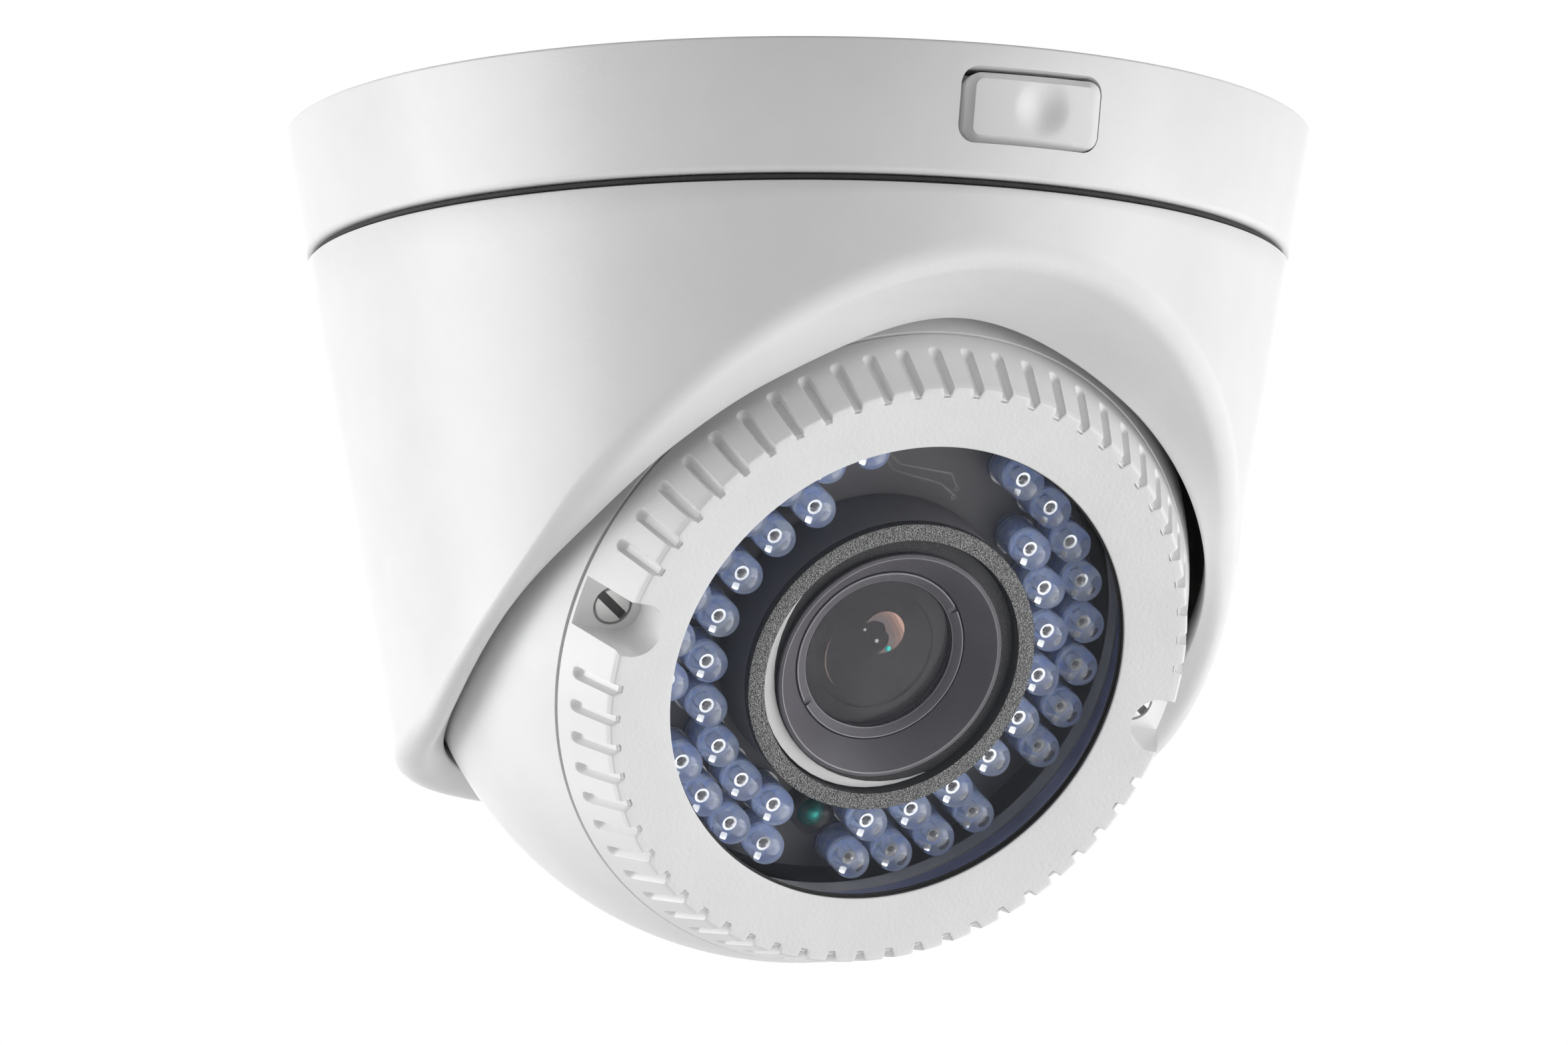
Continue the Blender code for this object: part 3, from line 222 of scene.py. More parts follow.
# Rows of the barrel that take its second or third finish: a painted highlight on the mouth's edge, and
# painted shade on the side and the collar
BARREL_LIGHT_AND_SHADE_ROWS = {1: 1, 4: 2, 5: 2, 6: 2}
WELL_OUTLINE = (
    (10.4, GLASS_SEAT + 0.2), (8.1, GLASS_SEAT + 0.1), (7.6, 22.0), (5.2, 19.5), (0.0, 19.5), (0.0, 18.9),
    (5.6, 18.9), (8.1, 21.6), (8.1, GLASS_SEAT - 0.1),
)
ELEMENT_OUTLINE = ((0.0, 25.25), (4.0, 25.2), (8.0, 25.1), (8.0, 24.6), (0.0, 24.6))

# Retaining ring: corners of (radius, height, fillet), its two rounded edges, which take a painted highlight,
# and its nicks
RING_FOOT = GLASS_L + 0.2
RING_CORNERS = (
    (10.35, RIM_L - 0.5, 0.14), (11.7, RIM_L + 0.1, 0.14), (11.7, RING_FOOT, 0.1), (10.35, RING_FOOT, 0.1),
)
RING_EDGE_ROWS = (0, 1, 2, 3, 5, 6, 7, 8)
NICK_SIZE = (0.7, 0.4, 0.15)
NICK_HEIGHTS = (RIM_L - 0.35, RIM_L + 1.5)
NICK_R = 11.3
NICK_TURN = 45.0

# Sickles: radius, width, middle angle and half spread
SICKLE_T = 0.1
SICKLE_TIP = 0.02
# The collar's sickle is painted light, on the side of the collar that the lamps reach
COLLAR_SICKLE = (17.5, 1.7, 224.0, 84.0)
COLLAR_LIFT = 0.05
# The amber sickles and ring are painted reflections in the lens
AMBER_L = 25.4
AMBER_LIFT = 0.04
AMBER_PLACE = (0.3, 2.5, 0.0)
AMBER_SICKLES = (
    (2.9, 2.6, 40.0, 125.0), (2.9, 1.7, 42.0, 90.0), (2.9, 1.0, 44.0, 62.0), (2.9, 0.5, 46.0, 38.0),
)
AMBER_RING = (5.5, 0.14, 205.0, 38.0)
AMBER_RING_PLACE = (-1.1, -0.85, 0.0)
GLINT_L = 25.42
GLINT_RISE = 0.55

# Shell: tapered cup whose opening runs round the ball
BALL_Z = -57.67
SHELL_R = 58.29
SHELL_TAPER = 0.183
SHELL_WALL = 1.6
SHELL_SHARP = 40.0
CUT_OFFSET = 23.3
CUT_BLEND = 8.0
CUT_FILLET = 5.0
CUT_EASE = (50.0, 120.0)
FOOT_FILLET = 11.0
FOOT_DEPTH = 5.0
BALL_GAP = 0.6
LIP_LAND = 6.0
LIP_ELEVATIONS = (29.3, 18.2, -3.6, -21.6, -28.5, -30.0, -30.0)
FRONT_SEAT = 54.36
BACK_SEAT = 52.57
SEAT_EASE = (45.0, 100.0)
CONE_STEPS = 8
LIP_STEPS = 4
NECK_H = 4.7
NECK_WALL = 2.2
NECK_GAP = 0.9
HANG_LEDGE = 4.2
HANG_T = 2.0
TOP_ROUND = 0.5
TOP_MIDDLE = 0.15

# Base: ceiling plate with its screw holes (count, circle's radius, first angle) and outlet, and its seal
BASE_H = 16.4
BASE_TAPER = 0.191
BASE_WALL = 2.6
BASE_OVERHANG = 0.2
PLATE_T = 2.6
DRILL_PAST = 1.0
CEILING_HOLES = (3, 38.0, 30.0)
CEILING_HOLE_R = 2.3
CEILING_SINK = ((0.0, 0.3), (3.1, 0.3), (2.2, -0.5), (0.0, -0.5))
OUTLET_R = 8.5
OUTLET_PLACE = (0.0, 34.0, 0.0)
GROMMET_Z = -PLATE_T - 0.3
GROMMET_CORNERS = (
    (5.0, -0.3, 0.4), (8.2, -0.3, 0.3), (8.2, GROMMET_Z, 0.2), (10.5, GROMMET_Z, 0.4),
    (10.5, GROMMET_Z - 1.2, 0.5), (6.0, GROMMET_Z - 2.2, 0.4), (5.0, GROMMET_Z - 2.2, 0.3),
)
SEAM_H = 1.0
SEAL_SINK = 0.9
SEAL_W = 1.9
SEAL_GAP = 0.2

# Button, its hole (growth and depth of each step) and the spring behind it
BUTTON_W = 18.2
BUTTON_H = 8.7
BUTTON_DROP = 3.35
BUTTON_MID = -BUTTON_DROP - BUTTON_H / 2
BUTTON_CORNER = 1.9
LEAST_CORNER = 0.5
BUTTON_BEVEL = 0.9
BUTTON_SINK = 0.3
BUTTON_LEAN = 0.045
BUTTON_SIDE = 2.2
BUTTON_EDGE = 0.06
BUTTON_BACK_Y = -62.8
BUTTON_BACK_SHARE = 0.96
# The bevel fades by this share over a width that starts this far in from the right end
BEVEL_FADE = 0.8
BEVEL_FADE_START = 2.5
BEVEL_FADE_W = 2.0
BUTTON_HOLE = ((0.5, -3.0), (0.35, 2.4), (0.35, 12.0))
BUTTON_HOLE_WIDER = 0.4
BUTTON_HOLE_SHIFT = (-0.65, 0.1)
BUTTON_FLANGE_WIDER = 1.4
BUTTON_FLANGE_HALF_H = 4.75
BUTTON_FLANGE_DROP = 0.15
BUTTON_FLANGE_ENDS = (-62.6, -61.6)
LATCH_SIZE = (1.2, 1.0, 0.3)
LATCH_ENDS = (-61.6, -53.0)
DIMPLE_R = 4.0
DIMPLE_D = 0.95
DIMPLE_PLACE = (0.9, 0.35)
SPRING_R = 2.5
SPRING_WIRE = 0.35
SPRING_TURNS = 4
SPRING_SIDES = 8
SPRING_ENDS = (-60.886, -54.643)
SPRING_Z = -6.8

SHELL_TOP = -(BASE_H + SEAM_H) - BALL_Z
SHELL_TOP_R = SHELL_R + SHELL_TAPER * SHELL_TOP
BASE_FOOT_R = SHELL_TOP_R + BASE_OVERHANG
BASE_TOP_R = BASE_FOOT_R + BASE_TAPER * BASE_H

# Steps round turned pieces and along curves, angles that stay sharp, and a side's share for its fillet
WIDE = 240
ROUND = 192
FINE = 96
SMALL = 48
CURVE_STEPS = 24
SHARP = 35.0
SOFT_SHARP = 50.0
SMOOTH_SHARP = 60.0
FILLET_SHARE = 0.48
LIP_SHARE = 0.7
TINY = 1e-6
QUARTERS = ((-1, -1), (1, -1), (1, 1), (-1, 1))

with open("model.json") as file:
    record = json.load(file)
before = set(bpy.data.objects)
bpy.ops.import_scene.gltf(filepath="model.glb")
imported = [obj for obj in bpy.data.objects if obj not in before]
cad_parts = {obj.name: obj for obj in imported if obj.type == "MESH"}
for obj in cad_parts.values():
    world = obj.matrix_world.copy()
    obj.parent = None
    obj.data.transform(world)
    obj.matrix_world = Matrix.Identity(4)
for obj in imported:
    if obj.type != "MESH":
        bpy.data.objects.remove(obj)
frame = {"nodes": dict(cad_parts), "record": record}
cad_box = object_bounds()

PAN = Matrix.Translation((0, 0, BALL_Z))
BALL = (PAN @ Matrix.Rotation(math.radians(90 + BALL_TILT), 4, 'X')
        @ Matrix.Rotation(math.radians(BALL_ROLL), 4, 'Z'))


def node(tree, kind, **values):
    """A shader node with its inputs set by name."""
    made = tree.nodes.new(kind)
    for name, value in values.items():
        made.inputs[name.replace("_", " ")].default_value = value
    return made


def grey(level):
    """A neutral colour."""
    return (level, level, level)


def material(name, dark, light, roughness, metallic=0.0, spots=120.0, grain=2500.0, bump=0.08,
             ramp_ends=(0.3, 0.7), **sockets):
    """Principled finish whose colour, roughness and surface vary with noise in the part's own space."""
    made = bpy.data.materials.new(name)
    made.use_nodes = True
    tree = made.node_tree
    shader = tree.nodes["Principled BSDF"]
    shader.inputs["Metallic"].default_value = metallic
    for socket, value in sockets.items():
        shader.inputs[socket.replace("_", " ")].default_value = value
    place = tree.nodes.new("ShaderNodeTexCoord")
    clouds = node(tree, "ShaderNodeTexNoise", Scale=spots, Detail=4.0, Roughness=0.6)
    fine = node(tree, "ShaderNodeTexNoise", Scale=grain, Detail=2.0)
    for texture in (clouds, fine):
        tree.links.new(place.outputs["Object"], texture.inputs["Vector"])
    ramp = tree.nodes.new("ShaderNodeValToRGB")
    for stop, position, colour in zip(ramp.color_ramp.elements, ramp_ends, (dark, light)):
        stop.position = position
        stop.color = (*colour, 1.0)
    tree.links.new(clouds.outputs["Fac"], ramp.inputs["Fac"])
    tree.links.new(ramp.outputs["Color"], shader.inputs["Base Color"])
    gloss = node(tree, "ShaderNodeMapRange", To_Min=roughness[0], To_Max=roughness[1])
    tree.links.new(fine.outputs["Fac"], gloss.inputs["Value"])
    tree.links.new(gloss.outputs["Result"], shader.inputs["Roughness"])
    raised = node(tree, "ShaderNodeBump", Strength=bump, Distance=GRAIN_HEIGHT)
    tree.links.new(fine.outputs["Fac"], raised.inputs["Height"])
    tree.links.new(raised.outputs["Normal"], shader.inputs["Normal"])
    return made


def foam_material():
    """Cellular foam: pale and dark cells a fifth of a millimetre across, with open pores."""
    made = material("foam", grey(0.06), (0.50, 0.50, 0.49), (0.7, 0.9), spots=6500.0, bump=0.0,
                    ramp_ends=(0.42, 0.58))
    tree = made.node_tree
    shader = tree.nodes["Principled BSDF"]
    place = tree.nodes["Texture Coordinate"]
    cells = node(tree, "ShaderNodeTexVoronoi", Scale=4400.0)
    tree.links.new(place.outputs["Object"], cells.inputs["Vector"])
    pores = node(tree, "ShaderNodeBump", Strength=0.9, Distance=PORE_HEIGHT)
    tree.links.new(cells.outputs["Distance"], pores.inputs["Height"])
    tree.links.new(pores.outputs["Normal"], shader.inputs["Normal"])
    return made


def clear_material(name, colour, alpha, roughness=0.02):
    """Thin clear plastic, drawn by its alpha so that light passes straight through."""
    made = material(name, colour, colour, (roughness, roughness * 1.5), bump=0.0)
    made.node_tree.nodes["Principled BSDF"].inputs["Alpha"].default_value = alpha
    made.surface_render_method = 'BLENDED'
    return made


def epoxy_material():
    """Blue-tinted lamp epoxy, clear enough to show the lamp's inside."""
    return material("lamp_epoxy", (0.88, 0.92, 1.0), (0.93, 0.96, 1.0), (0.02, 0.06), bump=0.0, IOR=1.45,
                    Transmission_Weight=0.88, Coat_Weight=0.6, Coat_Roughness=0.03)


WHITE = material("white_paint", (0.80, 0.80, 0.805), grey(0.83), (0.28, 0.36))
FACE_WHITE = material("white_face", (0.79, 0.79, 0.795), grey(0.83), (0.4, 0.5), grain=1800.0, bump=0.3)
# Painted bluish light: the white bore and window clip behind the pane take the lilac they show in shade
# under the blue lamps
BLUE_LIGHT_WALL = material("inner_wall_painted_blue_light", (0.50, 0.53, 0.72), (0.56, 0.59, 0.78), (0.4, 0.5))
# Painted shade: the white bezel's hole wall drawn near black
HOLE_SHADE = material("hole_wall_painted_shade", grey(0.06), grey(0.08), (0.4, 0.5))
PLASTIC = material("white_plastic", grey(0.80), grey(0.83), (0.34, 0.42))
RUBBER = material("black_rubber", grey(0.02), grey(0.035), (0.7, 0.85), bump=0.3)
BLACK = material("black_plastic", (0.035, 0.035, 0.04), (0.05, 0.05, 0.055), (0.45, 0.6), bump=0.2)
FOAM = foam_material()
# Painted shade: near black for the foam's sides and for the barrel's side and collar
PAINTED_SHADE = material("painted_shade_black", grey(0.008), grey(0.012), (0.6, 0.7), bump=0.1)
# Painted light: white where the lamps reach the collar, also used for the painted white sparks in the lens
COLLAR_LIGHT = material("barrel_collar_painted_light", (0.80, 0.80, 0.79), (0.86, 0.86, 0.85), (0.35, 0.45), bump=0.1)
TINT = material("lamp_tint", (0.30, 0.45, 1.0), (0.74, 0.84, 1.0), (0.3, 0.4), spots=1300.0, bump=0.0)
CLEAR = clear_material("clear_window", (0.10, 0.11, 0.15), 0.04, 0.03)
EPOXY = epoxy_material()
# The board's own dark grey, lightened by a painted reflection that stands in for the haze the window
# reflects over it
BOARD = material("board", (0.175, 0.172, 0.180), (0.200, 0.197, 0.205), (0.35, 0.45), bump=0.05,
                 Specular_IOR_Level=0.1)
TRACE = material("board_trace", grey(0.16), grey(0.22), (0.3, 0.4), bump=0.0)
BARREL = material("lens_barrel", (0.110, 0.104, 0.118), (0.130, 0.123, 0.138), (0.3, 0.38), bump=0.05,
                  Specular_IOR_Level=0.25)
GLASS = material("lens_glass", (0.80, 0.79, 0.80), (0.84, 0.83, 0.84), (0.0, 0.02), bump=0.0, IOR=1.2,
                 Transmission_Weight=1.0)
DEEP = material("lens_inside", (0.055, 0.053, 0.056), (0.066, 0.064, 0.067), (0.6, 0.7), bump=0.0,
                Specular_IOR_Level=0.0)
DARK_GLASS = material("inner_glass", (0.050, 0.048, 0.052), (0.060, 0.058, 0.062), (0.4, 0.5), bump=0.0,
                      Specular_IOR_Level=0.0)
# Painted highlight on the retaining ring's rounded edges and on the barrel's mouth
EDGE_HIGHLIGHT = material("painted_edge_highlight", (0.36, 0.35, 0.37), (0.42, 0.41, 0.43), (0.25, 0.35), bump=0.0)
# Painted reflections: amber from the lens coatings, from dim to bright
AMBER_REFLECTIONS = [material(f"painted_amber_reflection_{i + 1}", tone, tone, (0.3, 0.4), bump=0.0) for i, tone in
          enumerate(((0.19, 0.145, 0.135), (0.28, 0.18, 0.15), (0.46, 0.28, 0.21), (0.85, 0.52, 0.40)))]
# Painted teal reflection: bright in the lens and the light sensor, dim in the sensor
TEAL_REFLECTION = material("painted_teal_reflection", (0.02, 0.70, 0.60), (0.05, 0.85, 0.74), (0.2, 0.3), metallic=0.3, bump=0.0)
DARK_TEAL = material("dim_teal_painted_reflection", (0.02, 0.16, 0.15), (0.04, 0.22, 0.21), (0.2, 0.3), bump=0.0)
SENSOR = clear_material("sensor_epoxy", (0.02, 0.024, 0.024), 0.3, 0.04)
SILVER = material("lamp_silver", grey(0.88), grey(1.0), (0.15, 0.3), metallic=0.7, bump=0.1)
SCREW = material("screw_metal", (0.62, 0.62, 0.61), (0.70, 0.70, 0.69), (0.38, 0.5), metallic=0.5, bump=0.1)
# Painted shade in the screws' slots
SLOT_SHADE = material("screw_slot_painted_shade", grey(0.06), grey(0.09), (0.4, 0.5), metallic=0.5, bump=0.1)
STEEL = material("steel", grey(0.50), grey(0.62), (0.3, 0.42), metallic=1.0, bump=0.15)
BRONZE = material("bronze", (0.50, 0.36, 0.18), (0.6, 0.45, 0.25), (0.35, 0.45), metallic=1.0)
CHIP = material("chip", (0.015, 0.015, 0.02), (0.02, 0.02, 0.03), (0.15, 0.25), bump=0.0)
FILTER = clear_material("filter_glass", (0.5, 0.2, 0.28), 0.5)


def piece(name, points, faces, finishes, body, replaced=(), slot=None, place=None, sharp=SHARP):
    """One mesh piece from points in millimetres that rides on a body of the frame."""
    mesh = bpy.data.meshes.new(name)
    matrix = place or Matrix.Identity(4)
    mesh.from_pydata([(matrix @ Vector(p)) * MM for p in points], [], faces)
    work = bmesh.new()
    work.from_mesh(mesh)
    bmesh.ops.recalc_face_normals(work, faces=work.faces)
    work.to_mesh(mesh)
    work.free()
    mesh.shade_smooth()
    mesh.set_sharp_from_angle(angle=math.radians(sharp))
    obj = bpy.data.objects.new(name, mesh)
    bpy.context.collection.objects.link(obj)
    for finish in finishes:
        mesh.materials.append(finish)
    if body:
        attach(obj, body)
    if replaced:
        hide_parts(*replaced)
    return obj


def cut(obj, cutters):
    """Cut solids out of a piece, then drop the cutters."""
    for cutter in cutters:
        step = obj.modifiers.new("cut", 'BOOLEAN')
        step.operation = 'DIFFERENCE'
        step.object = cutter
    shaped = bpy.data.meshes.new_from_object(obj.evaluated_get(bpy.context.evaluated_depsgraph_get()))
    obj.modifiers.clear()
    shaped.name = obj.data.name
    obj.data = shaped
    for cutter in cutters:
        bpy.data.objects.remove(cutter, do_unlink=True)
    obj.data.shade_smooth()
    obj.data.set_sharp_from_angle(angle=math.radians(SHARP))


def corner_arc(here, before, after, radius, steps, share):
    """Points of the fillet in a corner, which takes at most a share of each side."""
    half = before.angle(after) / 2
    reach = min(radius / math.tan(half), share * before.length, share * after.length)
    first, last = before.normalized(), after.normalized()
    centre = here + (first + last).normalized() * (reach / math.cos(half))
    start = here + first * reach - centre
    sweep = start.angle_signed(here + last * reach - centre)
    turns = [Matrix.Rotation(-sweep * i / steps, 2) @ start + centre for i in range(steps + 1)]
    return [tuple(p) for p in turns]


def rounded(corners, steps=4):
    """Closed outline of (radius, height, fillet) corners, each filleted where its sides leave room."""
    outline = []
    count = len(corners)
    for k, (x, y, fillet) in enumerate(corners):
        here = Vector((x, y))
        before = Vector(corners[k - 1][:2]) - here
        after = Vector(corners[(k + 1) % count][:2]) - here
        if fillet <= 0 or before.length < TINY or after.length < TINY:
            outline.append((x, y))
        else:
            outline += corner_arc(here, before, after, fillet, steps, FILLET_SHARE)
    return outline


def arc(radius, start, stop, steps):
    """Points of (radius, height) on a ball about the origin, between two heights."""
    first, last = math.asin(start / radius), math.asin(stop / radius)
    turns = [first + (last - first) * i / steps for i in range(steps + 1)]
    return [(radius * math.cos(t), radius * math.sin(t)) for t in turns]


def dome(radius, foot, rise, steps):
    """Points of (radius, height) from the top of a dome down to its foot."""
    turns = [math.radians(90.0 * i / steps) for i in range(steps)]
    side = [(radius * math.cos(t), foot + rise * math.sin(t)) for t in turns]
    return [(0.0, foot + rise)] + side[::-1]


def band(inner, outer, top, low):
    """Corners of a flat ring with softened edges."""
    return [(r, height, SOFT_EDGE) for r, height in ((inner, top), (outer, top), (outer, low), (inner, low))]


def rounded_rectangle(half_x, half_y, corner, steps=8, sides=1):
    """Outline with round corners, whose straight sides may be split into several steps."""
    reach_x, reach_y = half_x - corner, half_y - corner
    arcs = []
    for k, (sx, sy) in enumerate(((1, 1), (-1, 1), (-1, -1), (1, -1))):
        turns = [math.radians(90 * k + 90 * i / steps) for i in range(steps + 1)]
        arcs.append([(sx * reach_x + corner * math.cos(t), sy * reach_y + corner * math.sin(t))
                     for t in turns])
    outline = []
    for points, following in zip(arcs, arcs[1:] + arcs[:1]):
        (x, y), (goal_x, goal_y) = points[-1], following[0]
        outline += points
        outline += [(x + (goal_x - x) * j / sides, y + (goal_y - y) * j / sides) for j in range(1, sides)]
    return outline


def spin(profile, steps=ROUND):
    """Points and faces of a closed profile turned about the height axis."""
    points = []
    rings = []
    for radius, height in profile:
        if radius < TINY:
            rings.append([len(points)] * steps)
            points.append((0.0, 0.0, height))
            continue
        rings.append(list(range(len(points), len(points) + steps)))
        turns = [math.tau * i / steps for i in range(steps)]
        points += [(radius * math.cos(t), radius * math.sin(t), height) for t in turns]
    faces = []
    for upper, lower in zip(rings, rings[1:] + rings[:1]):
        for i in range(steps):
            j = (i + 1) % steps
            face = tuple(dict.fromkeys((upper[i], upper[j], lower[j], lower[i])))
            if len(face) > 2:
                faces.append(face)
    return points, faces


def skin(rings):
    """Points and faces over a row of rings with equally many points, closed at both ends."""
    count = len(rings[0])
    points = [p for ring in rings for p in ring]
    faces = [tuple(range(count)), tuple(range(len(points) - count, len(points)))]
    for k in range(len(rings) - 1):
        for i in range(count):
            j = (i + 1) % count
            faces.append((k * count + i, k * count + j, (k + 1) * count + j, (k + 1) * count + i))
    return points, faces


def looped(columns):
    """Points and faces over closed outlines that follow each other round to the first one."""
    count = len(columns[0])
    points = [p for column in columns for p in column]
    faces = []
    for i in range(len(columns)):
        j = (i + 1) % len(columns)
        for k in range(count):
            m = (k + 1) % count
            faces.append((i * count + k, j * count + k, j * count + m, i * count + m))
    return points, faces


def bar(size, heights, steps, shift=0.0):
    """Upright bar with round corners that runs through the given heights."""
    outline = rounded_rectangle(*size, steps)
    return skin([[(x, y + shift, z) for x, y in outline] for z in heights])


def drill(radius, top, low):
    """Solid of a round hole that reaches past both its ends."""
    top, low = top + DRILL_PAST, low - DRILL_PAST
    return spin([(0.0, top), (radius, top), (radius, low), (0.0, low)], SMALL)


def moved(shape, place):
    """A shape carried to a place."""
    points, faces = shape
    return [tuple(place @ Vector(p)) for p in points], faces


def joined(shapes):
    """Several shapes as one."""
    points = []
    faces = []
    for shape_points, shape_faces in shapes:
        faces += [tuple(i + len(points) for i in face) for face in shape_faces]
        points += shape_points
    return points, faces


def around(count, radius, first=0.0):
    """Places spread evenly round a circle."""
    for i in range(count):
        turn = Matrix.Rotation(math.radians(first + 360.0 * i / count), 4, 'Z')
        yield turn @ Matrix.Translation((radius, 0, 0))


def guide(shapes, place=None):
    """A solid that only cuts."""
    return piece("guide", *joined(shapes), (), None, place=place)


def on_ball(name, corners, finish, replaced, slot):
    """Piece turned about the lens axis from its corners."""
    return piece(name, *spin(rounded(corners)), [finish], "ball", replaced, slot, BALL)


def detail(name, shape, finish, slot, place=BALL, sharp=SHARP):
    """Piece on the ball that stands beside the frame's own nodes and replaces none of them."""
    piece(name, *shape, [finish], "ball", (), slot, place, sharp)


def shell_radius(height):
    """Radius of the shell's outside at a height from the ball's centre."""
    return SHELL_R + SHELL_TAPER * height


def lip_elevation(azimuth):
    """Elevation of the opening's inner edge on the ball, smooth through the listed angles."""
    last = len(LIP_ELEVATIONS) - 1
    step = 180.0 / last
    angle = abs((azimuth + 180.0) % 360.0 - 180.0)
    k = min(int(angle / step), last - 1)
    t = angle / step - k
    near = [min(abs(i), 2 * last - abs(i)) for i in range(k - 1, k + 3)]
    before, low, high, after = (LIP_ELEVATIONS[i] for i in near)
    bend = 2 * before - 5 * low + 4 * high - after
    return low + 0.5 * t * (high - before + t * (bend + t * (3 * (low - high) + after - before)))


def eased(azimuth, start, stop):
    """Share that rises smoothly from 0 to 1 between two angles off the front."""
    share = (abs((azimuth + 180.0) % 360.0 - 180.0) - start) / (stop - start)
    share = max(0.0, min(1.0, share))
    return share * share * (3 - 2 * share)


def shell_section(azimuth):
    """Closed outline of the shell in the upright plane at one azimuth from the front."""
    lean = math.cos(math.radians(azimuth))
    seat = FRONT_SEAT + (BACK_SEAT - FRONT_SEAT) * eased(azimuth, *SEAT_EASE)
    tilt = math.radians(lip_elevation(azimuth))
    land = tilt + math.radians(LIP_LAND)
    edge = Vector((seat * math.cos(tilt), seat * math.sin(tilt)))
    shelf = Vector((seat * math.cos(land), seat * math.sin(land)))
    foot = BACK_SEAT * math.sin(math.radians(LIP_ELEVATIONS[-1])) - FOOT_DEPTH
    plane = (SHELL_R * lean - CUT_OFFSET * math.sqrt(2)) / (1 - SHELL_TAPER * lean)
    corner_z = (plane + foot + math.hypot(plane - foot, CUT_BLEND)) / 2
    corner = Vector((shell_radius(corner_z), corner_z))
    radius = CUT_FILLET + (FOOT_FILLET - CUT_FILLET) * eased(azimuth, *CUT_EASE)
    top = Vector((SHELL_TOP_R, SHELL_TOP - TOP_ROUND))
    fillet = corner_arc(corner, top - corner, edge - corner, radius, steps=14, share=LIP_SHARE)
    cone = [tuple(top.lerp(Vector(fillet[0]), i / CONE_STEPS)) for i in range(1, CONE_STEPS)]
    lip = [tuple(Vector(fillet[-1]).lerp(edge, i / LIP_STEPS)) for i in range(1, LIP_STEPS)]
    edge_round = corner_arc(edge, Vector(lip[-1]) - edge, shelf - edge, BALL_GAP, steps=5, share=LIP_SHARE)
    brow = SHELL_TOP - NECK_WALL
    wall_z = min(shelf.y + FOOT_DEPTH, brow - SHELL_WALL)
    neck_r = BASE_FOOT_R - BASE_WALL - NECK_GAP
    neck_in = neck_r - NECK_WALL
    neck_top = SHELL_TOP + NECK_H
    outer = [(neck_in - HANG_LEDGE, neck_top), (neck_r, neck_top), (neck_r, SHELL_TOP),
             (SHELL_TOP_R - TOP_ROUND, SHELL_TOP),
             (SHELL_TOP_R - TOP_MIDDLE, SHELL_TOP - TOP_MIDDLE), tuple(top)]
    inner = [tuple(shelf), (shell_radius(wall_z) - SHELL_WALL, wall_z),
             (shell_radius(brow) - SHELL_WALL, brow), (neck_in, SHELL_TOP), (neck_in, neck_top - HANG_T),
             (neck_in - HANG_LEDGE, neck_top - HANG_T)]
    return outer + cone + fillet + lip + edge_round + inner


def build_shell():
    """Cup with its scooped opening, built from sections all round."""
    columns = []
    for i in range(WIDE):
        azimuth = 360.0 * i / WIDE
        turn = math.radians(azimuth)
        columns.append([(r * math.sin(turn), -r * math.cos(turn), z) for r, z in shell_section(azimuth)])
    piece("shell_skin", *looped(columns), [WHITE], "shell", ["shell"], "white_paint", PAN, SHELL_SHARP)


def base_radius(height):
    """Radius of the base's outside at a height from the ceiling."""
    return BASE_TOP_R + BASE_TAPER * height


def build_base():
    """Base with its screw holes, cable outlet and button hole, the seal under it and the grommet."""
    foot = -BASE_H
    wall = base_radius(-PLATE_T) - BASE_WALL
    profile = rounded([(0.0, 0.0, 0.0), (BASE_TOP_R, 0.0, 0.35), (BASE_FOOT_R, foot, 1.0),
                       (BASE_FOOT_R - BASE_WALL, foot, 0.3), (wall, -PLATE_T, 0.8), (0.0, -PLATE_T, 0.0)])
    base = piece("base_skin", *spin(profile, WIDE), [WHITE], "base", ["mounting_base"], "white_paint")
    outlet = Matrix.Translation(OUTLET_PLACE)
    holes = [moved(drill(CEILING_HOLE_R, 0.0, -PLATE_T), place) for place in around(*CEILING_HOLES)]
    rims = [moved(spin(CEILING_SINK, SMALL), place) for place in around(*CEILING_HOLES)]
    cable = moved(drill(OUTLET_R, 0.0, -PLATE_T), outlet)
    shift_x, shift_z = BUTTON_HOLE_SHIFT
    window = []
    for grow, depth in BUTTON_HOLE:
        half_x = BUTTON_W / 2 + grow + BUTTON_HOLE_WIDER
        outline = rounded_rectangle(half_x, BUTTON_H / 2 + grow, BUTTON_CORNER + grow)
        window.append([(x + shift_x, depth - BASE_TOP_R, BUTTON_MID + z + shift_z) for x, z in outline])
    cut(base, [guide(holes), guide(rims), guide([cable]), guide([skin(window)])])

    seal_r = BASE_FOOT_R - SEAL_SINK
    seal_in = seal_r - SEAL_W
    top, low = foot - SEAL_GAP, foot - SEAM_H + SEAL_GAP
    seal = rounded([(seal_in, top, 0.0), (seal_r, top, 0.2), (seal_r, low, 0.2), (seal_in, low, 0.0)])
    piece("seal_skin", *spin(seal, WIDE), [RUBBER], "base", ["base_seal"], "black_rubber")
    grommet = spin(rounded(GROMMET_CORNERS), SMALL)
    piece("grommet_skin", *grommet, [RUBBER], "base", ["cable_grommet"], "black_rubber", outlet)


def button_face(x, z):
    """Depth of the button's face, which follows the base and lies deeper at its left end."""
    sink = BUTTON_SINK - BUTTON_LEAN * x
    return -math.sqrt((base_radius(z) - sink) ** 2 - x ** 2)


